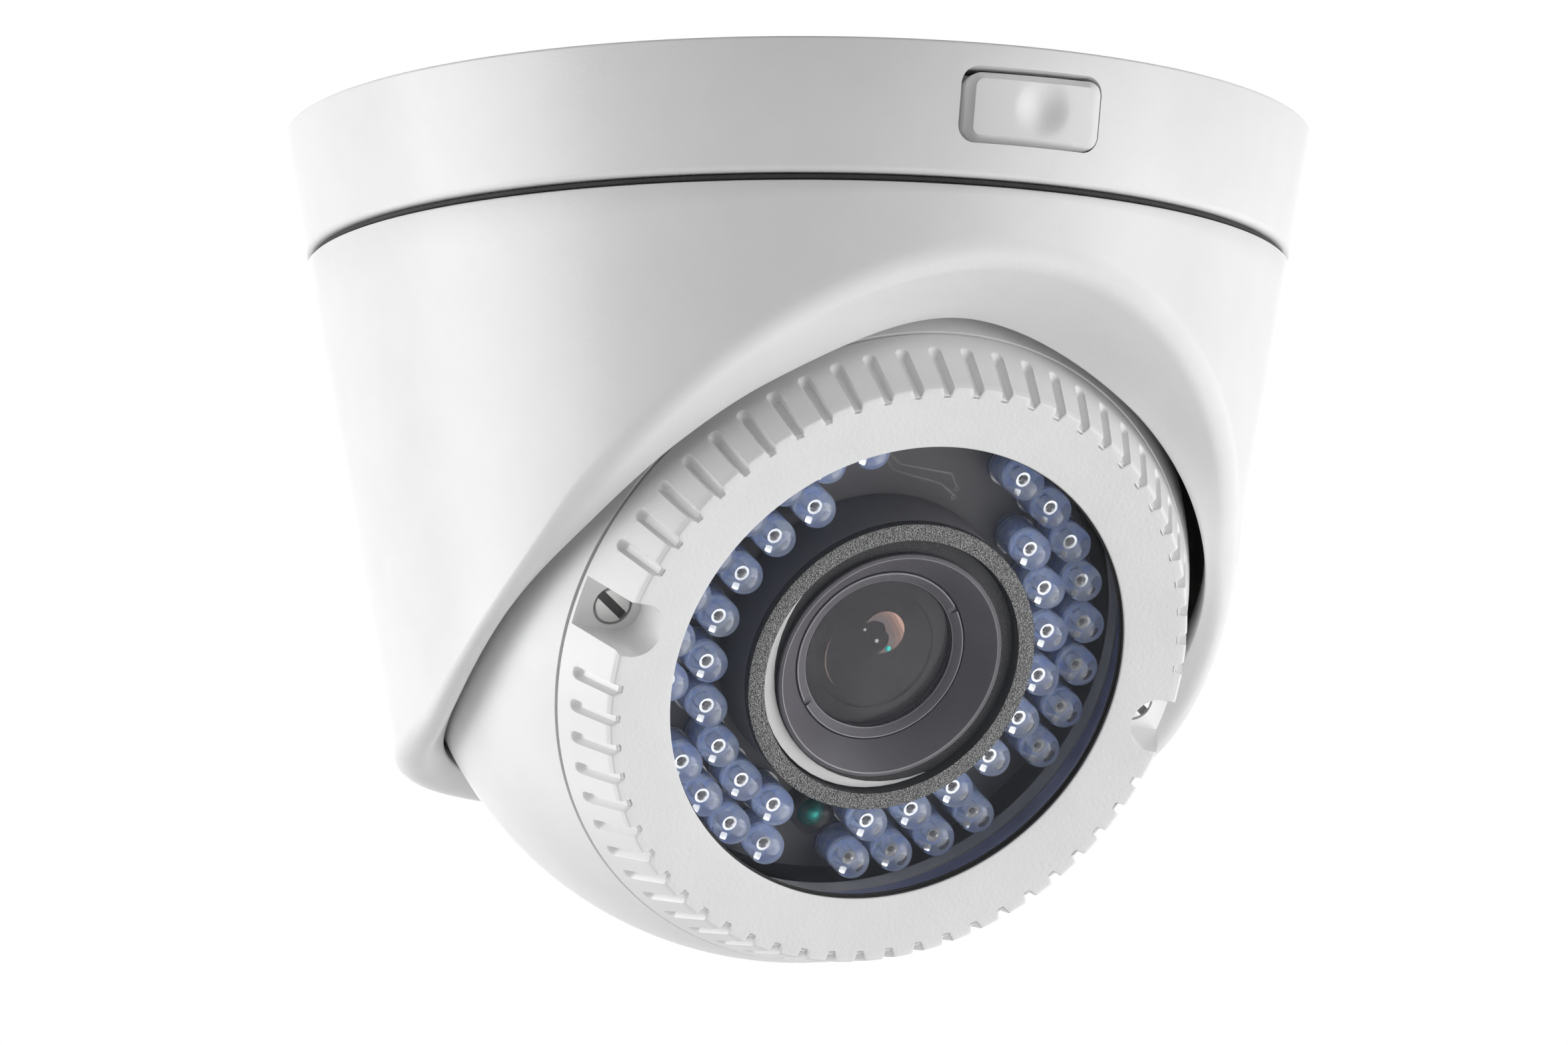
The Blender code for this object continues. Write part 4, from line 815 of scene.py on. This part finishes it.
def button_ring(inset, depth):
    """Ring of points set in from the button's outline and back from its face."""
    half_x = BUTTON_W / 2
    corner = max(BUTTON_CORNER - inset, LEAST_CORNER)
    ring = []
    for x, z in rounded_rectangle(half_x - inset, BUTTON_H / 2 - inset, corner, sides=16):
        fade = max(0.0, min(1.0, (x - half_x + BEVEL_FADE_START) / BEVEL_FADE_W))
        height = BUTTON_MID + z
        ring.append((x, button_face(x, height) + depth * (1 - BEVEL_FADE * fade), height))
    return ring


def dimple_ring(share):
    """Ring of points on the button's face, drawn in towards the finger dimple and sunk by it."""
    middle_x, middle_z = DIMPLE_PLACE
    ring = []
    for x, _, z in button_ring(BUTTON_BEVEL, 0.0):
        x = middle_x + (x - middle_x) * share
        z = middle_z + (z - BUTTON_MID - middle_z) * share
        near = max(0.0, 1 - ((x - middle_x) ** 2 + (z - middle_z) ** 2) / DIMPLE_R ** 2)
        ring.append((x, button_face(x, BUTTON_MID + z) + DIMPLE_D * near * near, BUTTON_MID + z))
    return ring


def build_button():
    """Key with chamfered edges and a soft finger dimple, its flange and its latch."""
    back = [(x * BUTTON_BACK_SHARE, BUTTON_BACK_Y, BUTTON_MID + (z - BUTTON_MID) * BUTTON_BACK_SHARE)
            for x, _, z in button_ring(0.0, 0.0)]
    key = [back, button_ring(0.0, BUTTON_SIDE), button_ring(0.0, BUTTON_BEVEL),
           button_ring(BUTTON_EDGE, BUTTON_BEVEL - 2 * BUTTON_EDGE)]
    key += [dimple_ring(1 - i / CURVE_STEPS) for i in range(CURVE_STEPS)]
    outline = rounded_rectangle(BUTTON_W / 2 + BUTTON_FLANGE_WIDER, BUTTON_FLANGE_HALF_H, BUTTON_CORNER)
    middle = BUTTON_MID - BUTTON_FLANGE_DROP
    flange = [[(x, y, middle + z) for x, z in outline] for y in BUTTON_FLANGE_ENDS]
    latch = [[(x, y, SPRING_Z + z) for x, z in rounded_rectangle(*LATCH_SIZE)] for y in LATCH_ENDS]
    piece("button_skin", *joined([skin(rings) for rings in (key, flange, latch)]), [PLASTIC], "button",
          ["release_button"], "white_plastic")


def build_spring():
    """Coil of even pitch behind the button, on a mesh of its own."""
    stations = SPRING_TURNS * CURVE_STEPS
    rings = []
    for i in range(stations + 1):
        turn = math.tau * SPRING_TURNS * i / stations
        along = SPRING_ENDS[0] + (SPRING_ENDS[1] - SPRING_ENDS[0]) * i / stations
        ring = []
        for k in range(SPRING_SIDES):
            side = math.tau * k / SPRING_SIDES
            radius = SPRING_R + SPRING_WIRE * math.cos(side)
            ring.append((radius * math.cos(turn), along + SPRING_WIRE * math.sin(side),
                         SPRING_Z + radius * math.sin(turn)))
        rings.append(ring)
    spring = piece("spring_coil", *skin(rings), [STEEL], "base", ["button_spring"], "steel")
    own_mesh(spring)


def build_ball():
    """Front and rear half of the hollow ball, with the seam between them."""
    seat = BEZEL_BACK - BEZEL_GAP
    inner = BALL_R - BALL_WALL
    front_seam, rear_seam = -SEAM_BACK + SEAM_HALF_GAP, -SEAM_BACK - SEAM_HALF_GAP
    front = arc(BALL_R, seat, front_seam, steps=24) + arc(inner, front_seam, seat - FLANGE_T, steps=12)
    front += [(BORE_R, seat - FLANGE_T), (BORE_R, seat)]
    piece("ball_front_skin", *spin(front), [WHITE], "ball", ["ball_front"], "white_paint", BALL)
    rear_floor = -REAR_FLAT + REAR_WALL
    rear = arc(BALL_R, rear_seam, -REAR_FLAT, steps=16)
    rear += [(PIVOT_HOLE, -REAR_FLAT), (PIVOT_HOLE, rear_floor)]
    rear += arc(inner, rear_floor, rear_seam, steps=8)
    piece("ball_rear_skin", *spin(rear), [WHITE], "ball", ["ball_rear"], "white_paint", BALL)


def face_height(radius):
    """Height of the bezel's dished face at a radius."""
    share = (radius - HOLE_R) / (BEZEL_FRONT_R - HOLE_R)
    return HOLE_L + (FACE_L - HOLE_L) * share


def groove_depth(across, along):
    """Radial depth of a grip groove with a round back end, across it and down from the front."""
    if across is None:
        return 0.0
    half = GROOVE_W / 2
    past = max(0.0, along - (GROOVE_LENGTH - half))
    inside = half - math.hypot(across, past)
    ramp = max(0.0, min(1.0, inside / GROOVE_WALL))
    slope = math.atan2(BEZEL_BACK_R - BEZEL_FRONT_R, FACE_L - BEZEL_BACK)
    return GROOVE_D * ramp * ramp * (3 - 2 * ramp) / math.cos(slope)


def bezel_columns():
    """Angles round the bezel with each one's distance from its groove, closer on the groove's walls."""
    pitch = math.radians(GROOVE_PITCH)
    middle = (BEZEL_FRONT_R + BEZEL_BACK_R) / 2
    steps = [s - GROOVE_W / 2 for s in GROOVE_COLUMNS] + [0.0]
    steps += [-s for s in reversed(steps[:-1])]
    for k in range(round(360.0 / GROOVE_PITCH)):
        angle = k * GROOVE_PITCH
        plain = min(angle % 180.0, 180.0 - angle % 180.0) < PLAIN_PITCHES * GROOVE_PITCH
        for s in steps:
            yield k * pitch + s / middle, (None if plain else s)
        yield (k + 0.5) * pitch, None


def bezel_section(across):
    """Closed outline of the bezel at a distance from its groove: slope, rim, face, hole and bore."""
    front = Vector((BEZEL_FRONT_R, FACE_L))
    slope = Vector((BEZEL_FRONT_R - BEZEL_BACK_R, FACE_L - BEZEL_BACK))
    quarter = [math.radians(90.0 * i / EDGE_STEPS) for i in range(EDGE_STEPS + 1)]
    section = [(BEZEL_BACK_R - BEZEL_BACK_BEVEL, BEZEL_BACK)]
    for down in BEZEL_ROWS:
        p = front - slope * (down / slope.length)
        section.append((p.x - groove_depth(across, down), p.y))
    rim = BEZEL_FRONT_R - groove_depth(across, 0.0)
    for i, angle in enumerate(quarter):
        r = rim - BEZEL_EDGE * (1 - math.cos(angle)) + BEZEL_FLARE * (1 - i / EDGE_STEPS)
        section.append((r, face_height(min(r, BEZEL_FRONT_R)) - BEZEL_EDGE * (1 - math.sin(angle))))
    for share in FACE_SHARES:
        r = BEZEL_FRONT_R - (BEZEL_FRONT_R - HOLE_R) * share
        section.append((r, face_height(r)))
    for angle in quarter:
        r = HOLE_R + HOLE_EDGE * (1 - math.sin(angle))
        section.append((r, face_height(HOLE_R) - HOLE_EDGE * (1 - math.cos(angle))))
    return section + [(HOLE_R, LIP_L), (BORE_R, LIP_L), (BORE_R, BEZEL_BACK)]


def notch():
    """Solid of a screw's notch, open outwards, with a round inner end and a bevelled mouth."""
    turns = [math.radians(-90 + 180.0 * i / CURVE_STEPS) for i in range(CURVE_STEPS + 1)]
    rings = []
    for grow, height in NOTCH_RINGS:
        half = NOTCH_W / 2 + grow
        ring = [(NOTCH_RADIUS - math.cos(t) * half, math.sin(t) * half, height) for t in turns]
        rings.append(ring + [(BALL_R, half, height), (BALL_R, -half, height)])
    return skin(rings)


def build_bezel():
    """Grooved bezel with its finishes row by row, painted bluish light on its bore and painted shade on its
    hole's wall, its two notches and their screws.
    """
    columns = []
    for turn, across in bezel_columns():
        section = bezel_section(across)
        columns.append([(r * math.cos(turn), r * math.sin(turn), height) for r, height in section])
    bezel = piece("bezel_skin", *looped(columns), [WHITE, FACE_WHITE, BLUE_LIGHT_WALL, HOLE_SHADE], "ball",
                  ["front_bezel"], "white_paint", BALL)
    rows = len(columns[0])
    face_start = 1 + len(BEZEL_ROWS) + EDGE_STEPS
    face_end = face_start + len(FACE_SHARES) + 2
    bore_row, hole_row = rows - 2, rows - 4
    # The bore takes painted bluish light and the hole's wall takes painted shade; the face rows keep the
    # face's white
    finishes = {bore_row: 2, hole_row: 3, **dict.fromkeys(range(face_start, face_end), 1)}
    for i, polygon in enumerate(bezel.data.polygons):
        polygon.material_index = finishes.get(i % rows, 0)
    notches = [moved(notch(), turn) for turn in around(2, 0.0)]
    bore = drill(SCREW_HEAD_R + SCREW_BORE_GAP, NOTCH_FLOOR, BEZEL_BACK)
    bores = [moved(bore, place) for place in around(2, SCREW_RADIUS)]
    cut(bezel, [guide(notches, BALL), guide(bores, BALL)])
    for i, place in enumerate(around(2, SCREW_RADIUS)):
        build_screw(i + 1, place)


def build_screw(number, place):
    """Slotted screw whose head lies flush in the notch's floor, with painted shade in its slot."""
    top = NOTCH_FLOOR + SCREW_PROUD
    foot = BEZEL_BACK - SCREW_PROUD
    end = foot - SCREW_SHANK_L
    profile = rounded([(0.0, top, 0.0), (SCREW_HEAD_R, top, 0.2), (SCREW_HEAD_R, foot, 0.1),
                       (SCREW_SHANK_R, foot, 0.0), (SCREW_SHANK_R, end, 0.2), (0.0, end, 0.0)])
    screw = piece(f"bezel_screw_skin_{number}", *spin(profile, SMALL), [SCREW], "ball",
                  [f"bezel_screw_{number}"], "steel", BALL @ place)
    turn = BALL @ place @ Matrix.Rotation(math.radians(SCREW_TURN), 4, 'Z')
    slot = [[(sx * SLOT_HALF_L, sy * SLOT_HALF_W, z) for sx, sy in QUARTERS]
            for z in (foot + SLOT_FLOOR, top + SLOT_PAST)]
    cut(screw, [guide([skin(slot)], turn)])
    # The slot's walls and floor take painted shade
    screw.data.materials.append(SLOT_SHADE)
    for polygon in screw.data.polygons:
        spot = turn.inverted() @ (polygon.center / MM)
        if abs(spot.y) < SLOT_HALF_W + SLOT_SKIN and foot < spot.z < top - HEAD_SKIN:
            polygon.material_index = 1


def lamp_places():
    """Places of the lamps on both rings, mirrored about the light sensor."""
    for radius, (count, first, step, skipped) in ((INNER_LED_R, INNER_LEDS), (OUTER_LED_R, OUTER_LEDS)):
        for offset in [first + step * i for i in range(count) if i != skipped]:
            for side in (-1, 1):
                turn = math.radians(-90.0 + side * offset)
                yield Matrix.Translation((radius * math.cos(turn), radius * math.sin(turn), BOARD_L))


def build_lamps():
    """Epoxy bodies with the silver cup, die and posts that show inside each lamp."""
    places = list(lamp_places())

    def spread(*shapes):
        return joined([moved(shape, place) for place in places for shape in shapes])

    body = spin(dome(LED_R, LED_H - LED_R, LED_R, steps=7) + list(LED_FOOT), steps=28)
    tint, cup = spin(LED_TINT, steps=20), spin(LED_CUP, steps=16)
    post, pin = bar(*LED_POST, steps=2), bar(*LED_PIN, steps=2, shift=LED_PIN_Y)
    detail("lamp_bodies", spread(body), EPOXY, "clear_window", sharp=SOFT_SHARP)
    detail("lamp_tints", spread(tint), TINT, "clear_window")
    detail("lamp_frames", spread(cup, post, pin), SILVER, "steel")
    detail("lamp_dies", spread(bar(*LED_DIE, steps=1)), CHIP, "chip")


def build_window():
    """Clear pane with its gasket and its clip, which is painted in bluish light, and the lamp board behind
    it.
    """
    pane = [(0.0, WINDOW_L, 0.0), (WINDOW_R, WINDOW_L, WINDOW_EDGE), (WINDOW_R, WINDOW_BACK, WINDOW_EDGE),
            (0.0, WINDOW_BACK, 0.0)]
    gasket = band(GASKET_IN, WINDOW_R, GASKET_TOP, GASKET_FOOT)
    clip = band(CLIP_IN, WINDOW_R, CLIP_TOP, CLIP_FOOT)
    board = band(BOARD_IN, BOARD_OUT, BOARD_L, BOARD_L - BOARD_T)
    on_ball("window_pane", pane, CLEAR, ["window"], "clear_window")
    on_ball("gasket_skin", gasket, RUBBER, ["window_gasket"], "black_rubber")
    on_ball("window_clip", clip, BLUE_LIGHT_WALL, ["window_retainer"], "black_plastic")
    on_ball("lamp_board_skin", board, BOARD, ["led_board"], "dark_board")


def build_foam():
    """Foam ring, speckled on its face, with painted shade in black on its sides, and grey on its outside
    under the top band.
    """
    corners = [(FOAM_IN, FOAM_L, 0.15), (FOAM_OUT, FOAM_L, 0.25), (FOAM_OUT, FOAM_BAND, 0.0),
               (FOAM_OUT, FOAM_FOOT, SOFT_EDGE), (FOAM_IN, FOAM_FOOT, SOFT_EDGE)]
    foam = on_ball("foam_skin", corners, FOAM, ["foam_ring"], "grey_foam")
    foam.data.materials.append(PAINTED_SHADE)
    foam.data.materials.append(BOARD)
    look = BALL.to_3x3() @ Vector((0, 0, 1))
    for polygon in foam.data.polygons:
        spot = BALL.inverted() @ (polygon.center / MM)
        outer = math.hypot(spot.x, spot.y) > FOAM_OUT - FOAM_SKIN and spot.z < FOAM_BAND
        # Faces turned along the lens axis keep the speckle; the outside under the top band takes the board's
        # grey, and the other sides take painted shade
        polygon.material_index = 0 if polygon.normal.dot(look) > FOAM_FACING else 2 if outer else 1


def build_traces():
    """Bare traces and their pads on the lamp board."""
    strips = []
    for route in TRACE_ROUTES:
        rings = []
        for k, (x, y) in enumerate(route):
            ahead = Vector(route[min(k + 1, len(route) - 1)]) - Vector(route[max(k - 1, 0)])
            side = Vector((-ahead.y, ahead.x)).normalized() * TRACE_HALF_W
            left, right = (x + side.x, y + side.y), (x - side.x, y - side.y)
            rings.append([(*left, BOARD_L), (*left, BOARD_L + TRACE_T), (*right, BOARD_L + TRACE_T),
                          (*right, BOARD_L)])
        strips.append(skin(rings))
    top = BOARD_L + PAD_T
    pad = spin([(PAD_IN, top), (PAD_OUT, top), (PAD_OUT, BOARD_L), (PAD_IN, BOARD_L)], steps=16)
    strips += [moved(pad, Matrix.Translation((x, y, 0))) for x, y in PAD_PLACES]
    detail("board_traces", joined(strips), TRACE, "dark_board")


def build_light_sensor():
    """Dark clear dome below the lens, with a painted teal reflection inside it as a dim bead and a bright
    chip.
    """
    place = BALL @ Matrix.Translation((0, -INNER_LED_R, BOARD_L))
    glint_place = place @ Matrix.Translation(SENSOR_CHIP_PLACE)
    body = spin(dome(SENSOR_R, SENSOR_DOME_FOOT, SENSOR_DOME_H, steps=7) + list(SENSOR_FOOT), steps=32)
    bead, chip = spin(SENSOR_BEAD, steps=28), spin(SENSOR_GLINT, steps=20)
    piece("light_sensor_skin", *body, [SENSOR], "ball", ["light_sensor"], "black_plastic", place, SOFT_SHARP)
    # Dim bead and bright chip of painted teal reflection
    detail("light_sensor_bead", bead, DARK_TEAL, "chip", place, SMOOTH_SHARP)
    detail("light_sensor_teal_glint", chip, TEAL_REFLECTION, "chip", glint_place, SMOOTH_SHARP)


def crescent(radius, width, middle, spread, height):
    """Thin sickle inside a circle, widest at its middle angle and pointed at both ends."""
    low = height - SICKLE_T
    rings = []
    for i in range(CURVE_STEPS + 1):
        share = 2 * i / CURVE_STEPS - 1
        turn = math.radians(middle + spread * share)
        inner = radius - SICKLE_TIP - width * math.cos(math.pi / 2 * share)
        rings.append([(r * math.cos(turn), r * math.sin(turn), z) for r, z in
                      ((radius, height), (inner, height), (inner, low), (radius, low))])
    return skin(rings)


def build_barrel():
    """Lens barrel with a painted highlight on its mouth's edge, painted shade on its side and collar with a
    painted sickle of light on the collar, and the nicked ring that holds the front glass, with painted
    highlights on its edges.
    """
    barrel = piece("barrel_skin", *spin(BARREL_OUTLINE), [BARREL, EDGE_HIGHLIGHT, PAINTED_SHADE], "ball",
                   ["lens_barrel"], "barrel_paint", BALL)
    # Painted highlight on the mouth's edge, painted shade on the side and the collar
    for polygon in barrel.data.polygons:
        polygon.material_index = BARREL_LIGHT_AND_SHADE_ROWS.get(polygon.index // ROUND, 0)
    # The lit sickle on the dark collar is painted light
    detail("barrel_collar_painted_light", crescent(*COLLAR_SICKLE, COLLAR_L + COLLAR_LIFT), COLLAR_LIGHT, "barrel_paint")
    ring = on_ball("retaining_ring_skin", RING_CORNERS, BARREL, ["lens_retaining_ring"], "barrel_paint")
    # Painted highlight on the ring's rounded edges
    ring.data.materials.append(EDGE_HIGHLIGHT)
    for polygon in ring.data.polygons:
        if polygon.index // ROUND in RING_EDGE_ROWS:
            polygon.material_index = 1
    nick = bar(NICK_SIZE, NICK_HEIGHTS, steps=2)
    cut(ring, [guide([moved(nick, place) for place in around(2, NICK_R, NICK_TURN)], BALL)])


def build_glass():
    """Front glass over a dark well, with the coatings' glints as painted reflections in thin pieces behind
    it.
    """
    shares = [1 - i / GLASS_RINGS for i in range(GLASS_RINGS + 1)]
    front = [(GLASS_R * share, GLASS_L + GLASS_RISE * (1 - share ** 2)) for share in shares]
    front += [(0.0, GLASS_BACK), (GLASS_R, GLASS_BACK)]
    piece("front_glass_skin", *spin(front), [GLASS], "ball", ["lens_front_glass"], "lens_glass", BALL)
    detail("lens_well", spin(WELL_OUTLINE, FINE), DEEP, "barrel_paint")
    detail("inner_element", spin(ELEMENT_OUTLINE, FINE), DARK_GLASS, "lens_glass")
    place = BALL @ Matrix.Translation(AMBER_PLACE)
    # Nested sickles of painted amber reflection, the widest dimmest and the narrowest brightest
    for i, (sickle, finish) in enumerate(zip(AMBER_SICKLES, AMBER_REFLECTIONS)):
        shape = crescent(*sickle, AMBER_L + AMBER_LIFT * i)
        detail(f"amber_reflection_sickle_{i + 1}", shape, finish, "lens_glass", place)
    # A thin arc of painted amber reflection
    place = BALL @ Matrix.Translation(AMBER_RING_PLACE)
    detail("amber_reflection_arc", crescent(*AMBER_RING, AMBER_L), AMBER_REFLECTIONS[1], "lens_glass", place)
    # Each painted reflection's name, place on the glass, radius and finish
    glints = (("teal_dot_reflection", 1.75, 0.5, 0.4, TEAL_REFLECTION), ("spark_reflection_1", -0.2, 1.25, 0.26, COLLAR_LIGHT),
              ("spark_reflection_2", -2.35, 2.4, 0.2, COLLAR_LIGHT))
    for name, x, y, radius, finish in glints:
        shape = spin(dome(radius, GLINT_L, GLINT_RISE * radius, steps=8) + [(0.0, GLINT_L)], SMALL)
        place = BALL @ Matrix.Translation((x, y, 0))
        detail(name, shape, finish, "lens_glass", place, SMOOTH_SHARP)


def dress_frame_nodes():
    """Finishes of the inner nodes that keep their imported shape."""
    finishes = {"steel": STEEL, "bronze": BRONZE, "black_plastic": BLACK, "dark_board": BOARD, "chip": CHIP,
                "filter_glass": FILTER, "clear_window": CLEAR}
    for part in frame["record"]["subparts"]:
        finish = finishes.get(part["material_slot"])
        if finish:
            for place in frame["nodes"][part["node"]].material_slots:
                place.material = finish


def background_share(tree):
    """Socket that is 1 for the rays that show the background: seen, mirrored or through glass."""
    path = tree.nodes.new("ShaderNodeLightPath")
    share = path.outputs["Is Camera Ray"]
    for ray in ("Is Glossy Ray", "Is Transmission Ray"):
        add = tree.nodes.new("ShaderNodeMath")
        add.operation = 'ADD'
        add.use_clamp = True
        tree.links.new(share, add.inputs[0])
        tree.links.new(path.outputs[ray], add.inputs[1])
        share = add.outputs["Value"]
    return share


def mixed(tree, share, first, second, output):
    """Mix two shaders' outputs by a share and send the result to the output node."""
    mix = tree.nodes.new("ShaderNodeMixShader")
    tree.links.new(share, mix.inputs["Fac"])
    tree.links.new(first, mix.inputs[1])
    tree.links.new(second, mix.inputs[2])
    tree.links.new(mix.outputs["Shader"], tree.nodes[output].inputs["Surface"])


def floor_material():
    """Pale floor that keeps part of its shadow and stays pale where no lamp reaches it."""
    made = material("floor", grey(0.88), grey(0.9), (0.8, 0.9), bump=0.0)
    tree = made.node_tree
    glow = node(tree, "ShaderNodeEmission", Color=WHITE_LIGHT, Strength=FLOOR_GLOW)
    part = tree.nodes.new("ShaderNodeMath")
    part.operation = 'MULTIPLY'
    part.inputs[1].default_value = FLOOR_GLOW_SHARE
    tree.links.new(background_share(tree), part.inputs[0])
    paint = tree.nodes["Principled BSDF"].outputs["BSDF"]
    mixed(tree, part.outputs["Value"], paint, glow.outputs["Emission"], "Material Output")
    return made


def build_stage():
    """The photograph's camera, a white background, the floor and the soft lamps."""
    scene = bpy.context.scene
    scene.view_settings.view_transform = 'Standard'
    lens = bpy.data.cameras.new("camera")
    lens.sensor_width = SENSOR_WIDTH
    lens.lens = FOCAL_PIXELS / PHOTO_WIDTH * SENSOR_WIDTH
    lens.clip_start = CAMERA_NEAR
    camera = bpy.data.objects.new("camera", lens)
    camera.location = Vector(CAMERA_PLACE) * MM
    camera.rotation_euler = Vector(CAMERA_LOOK).to_track_quat('-Z', 'Y').to_euler()
    scene.collection.objects.link(camera)
    scene.camera = camera

    world = bpy.data.worlds.new("studio")
    scene.world = world
    world.use_nodes = True
    tree = world.node_tree
    light = tree.nodes["Background"]
    light.inputs["Color"].default_value = WHITE_LIGHT
    light.inputs["Strength"].default_value = WORLD_LIGHT
    seen = node(tree, "ShaderNodeBackground", Color=WHITE_LIGHT, Strength=1.0)
    mixed(tree, background_share(tree), light.outputs["Background"], seen.outputs["Background"],
          "World Output")

    corners = [(sx * FLOOR_HALF, sy * FLOOR_HALF, FLOOR_Z) for sx, sy in QUARTERS]
    piece("floor", corners, [(0, 1, 2, 3)], [floor_material()], None)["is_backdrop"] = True

    front = -Vector((CAMERA_LOOK[0], CAMERA_LOOK[1], 0.0)).normalized()
    right = Vector((-front.y, front.x, 0.0))
    for name, azimuth, elevation, distance, size, power in LAMPS:
        turn, lift = math.radians(azimuth), math.radians(elevation)
        away = (front * math.cos(turn) + right * math.sin(turn)) * math.cos(lift)
        away.z = math.sin(lift)
        data = bpy.data.lights.new(name, 'AREA')
        data.energy = power
        data.size = size * MM
        lamp = bpy.data.objects.new(name, data)
        lamp.location = (Vector((0, 0, BALL_Z)) + away * distance) * MM
        lamp.rotation_euler = (-away).to_track_quat('-Z', 'Y').to_euler()
        scene.collection.objects.link(lamp)


def main():
    """Build every piece and work out the boxes of the frame and of the dressed part."""
    dress_frame_nodes()
    build_base()
    build_button()
    build_spring()
    build_shell()
    build_ball()
    build_bezel()
    build_window()
    build_foam()
    build_traces()
    build_lamps()
    build_light_sensor()
    build_barrel()
    build_glass()
    build_stage()
    boxes = {"cad": cad_box, "visual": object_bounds()}
    plain = {name: [list(corner) for corner in box] for name, box in boxes.items()}


main()
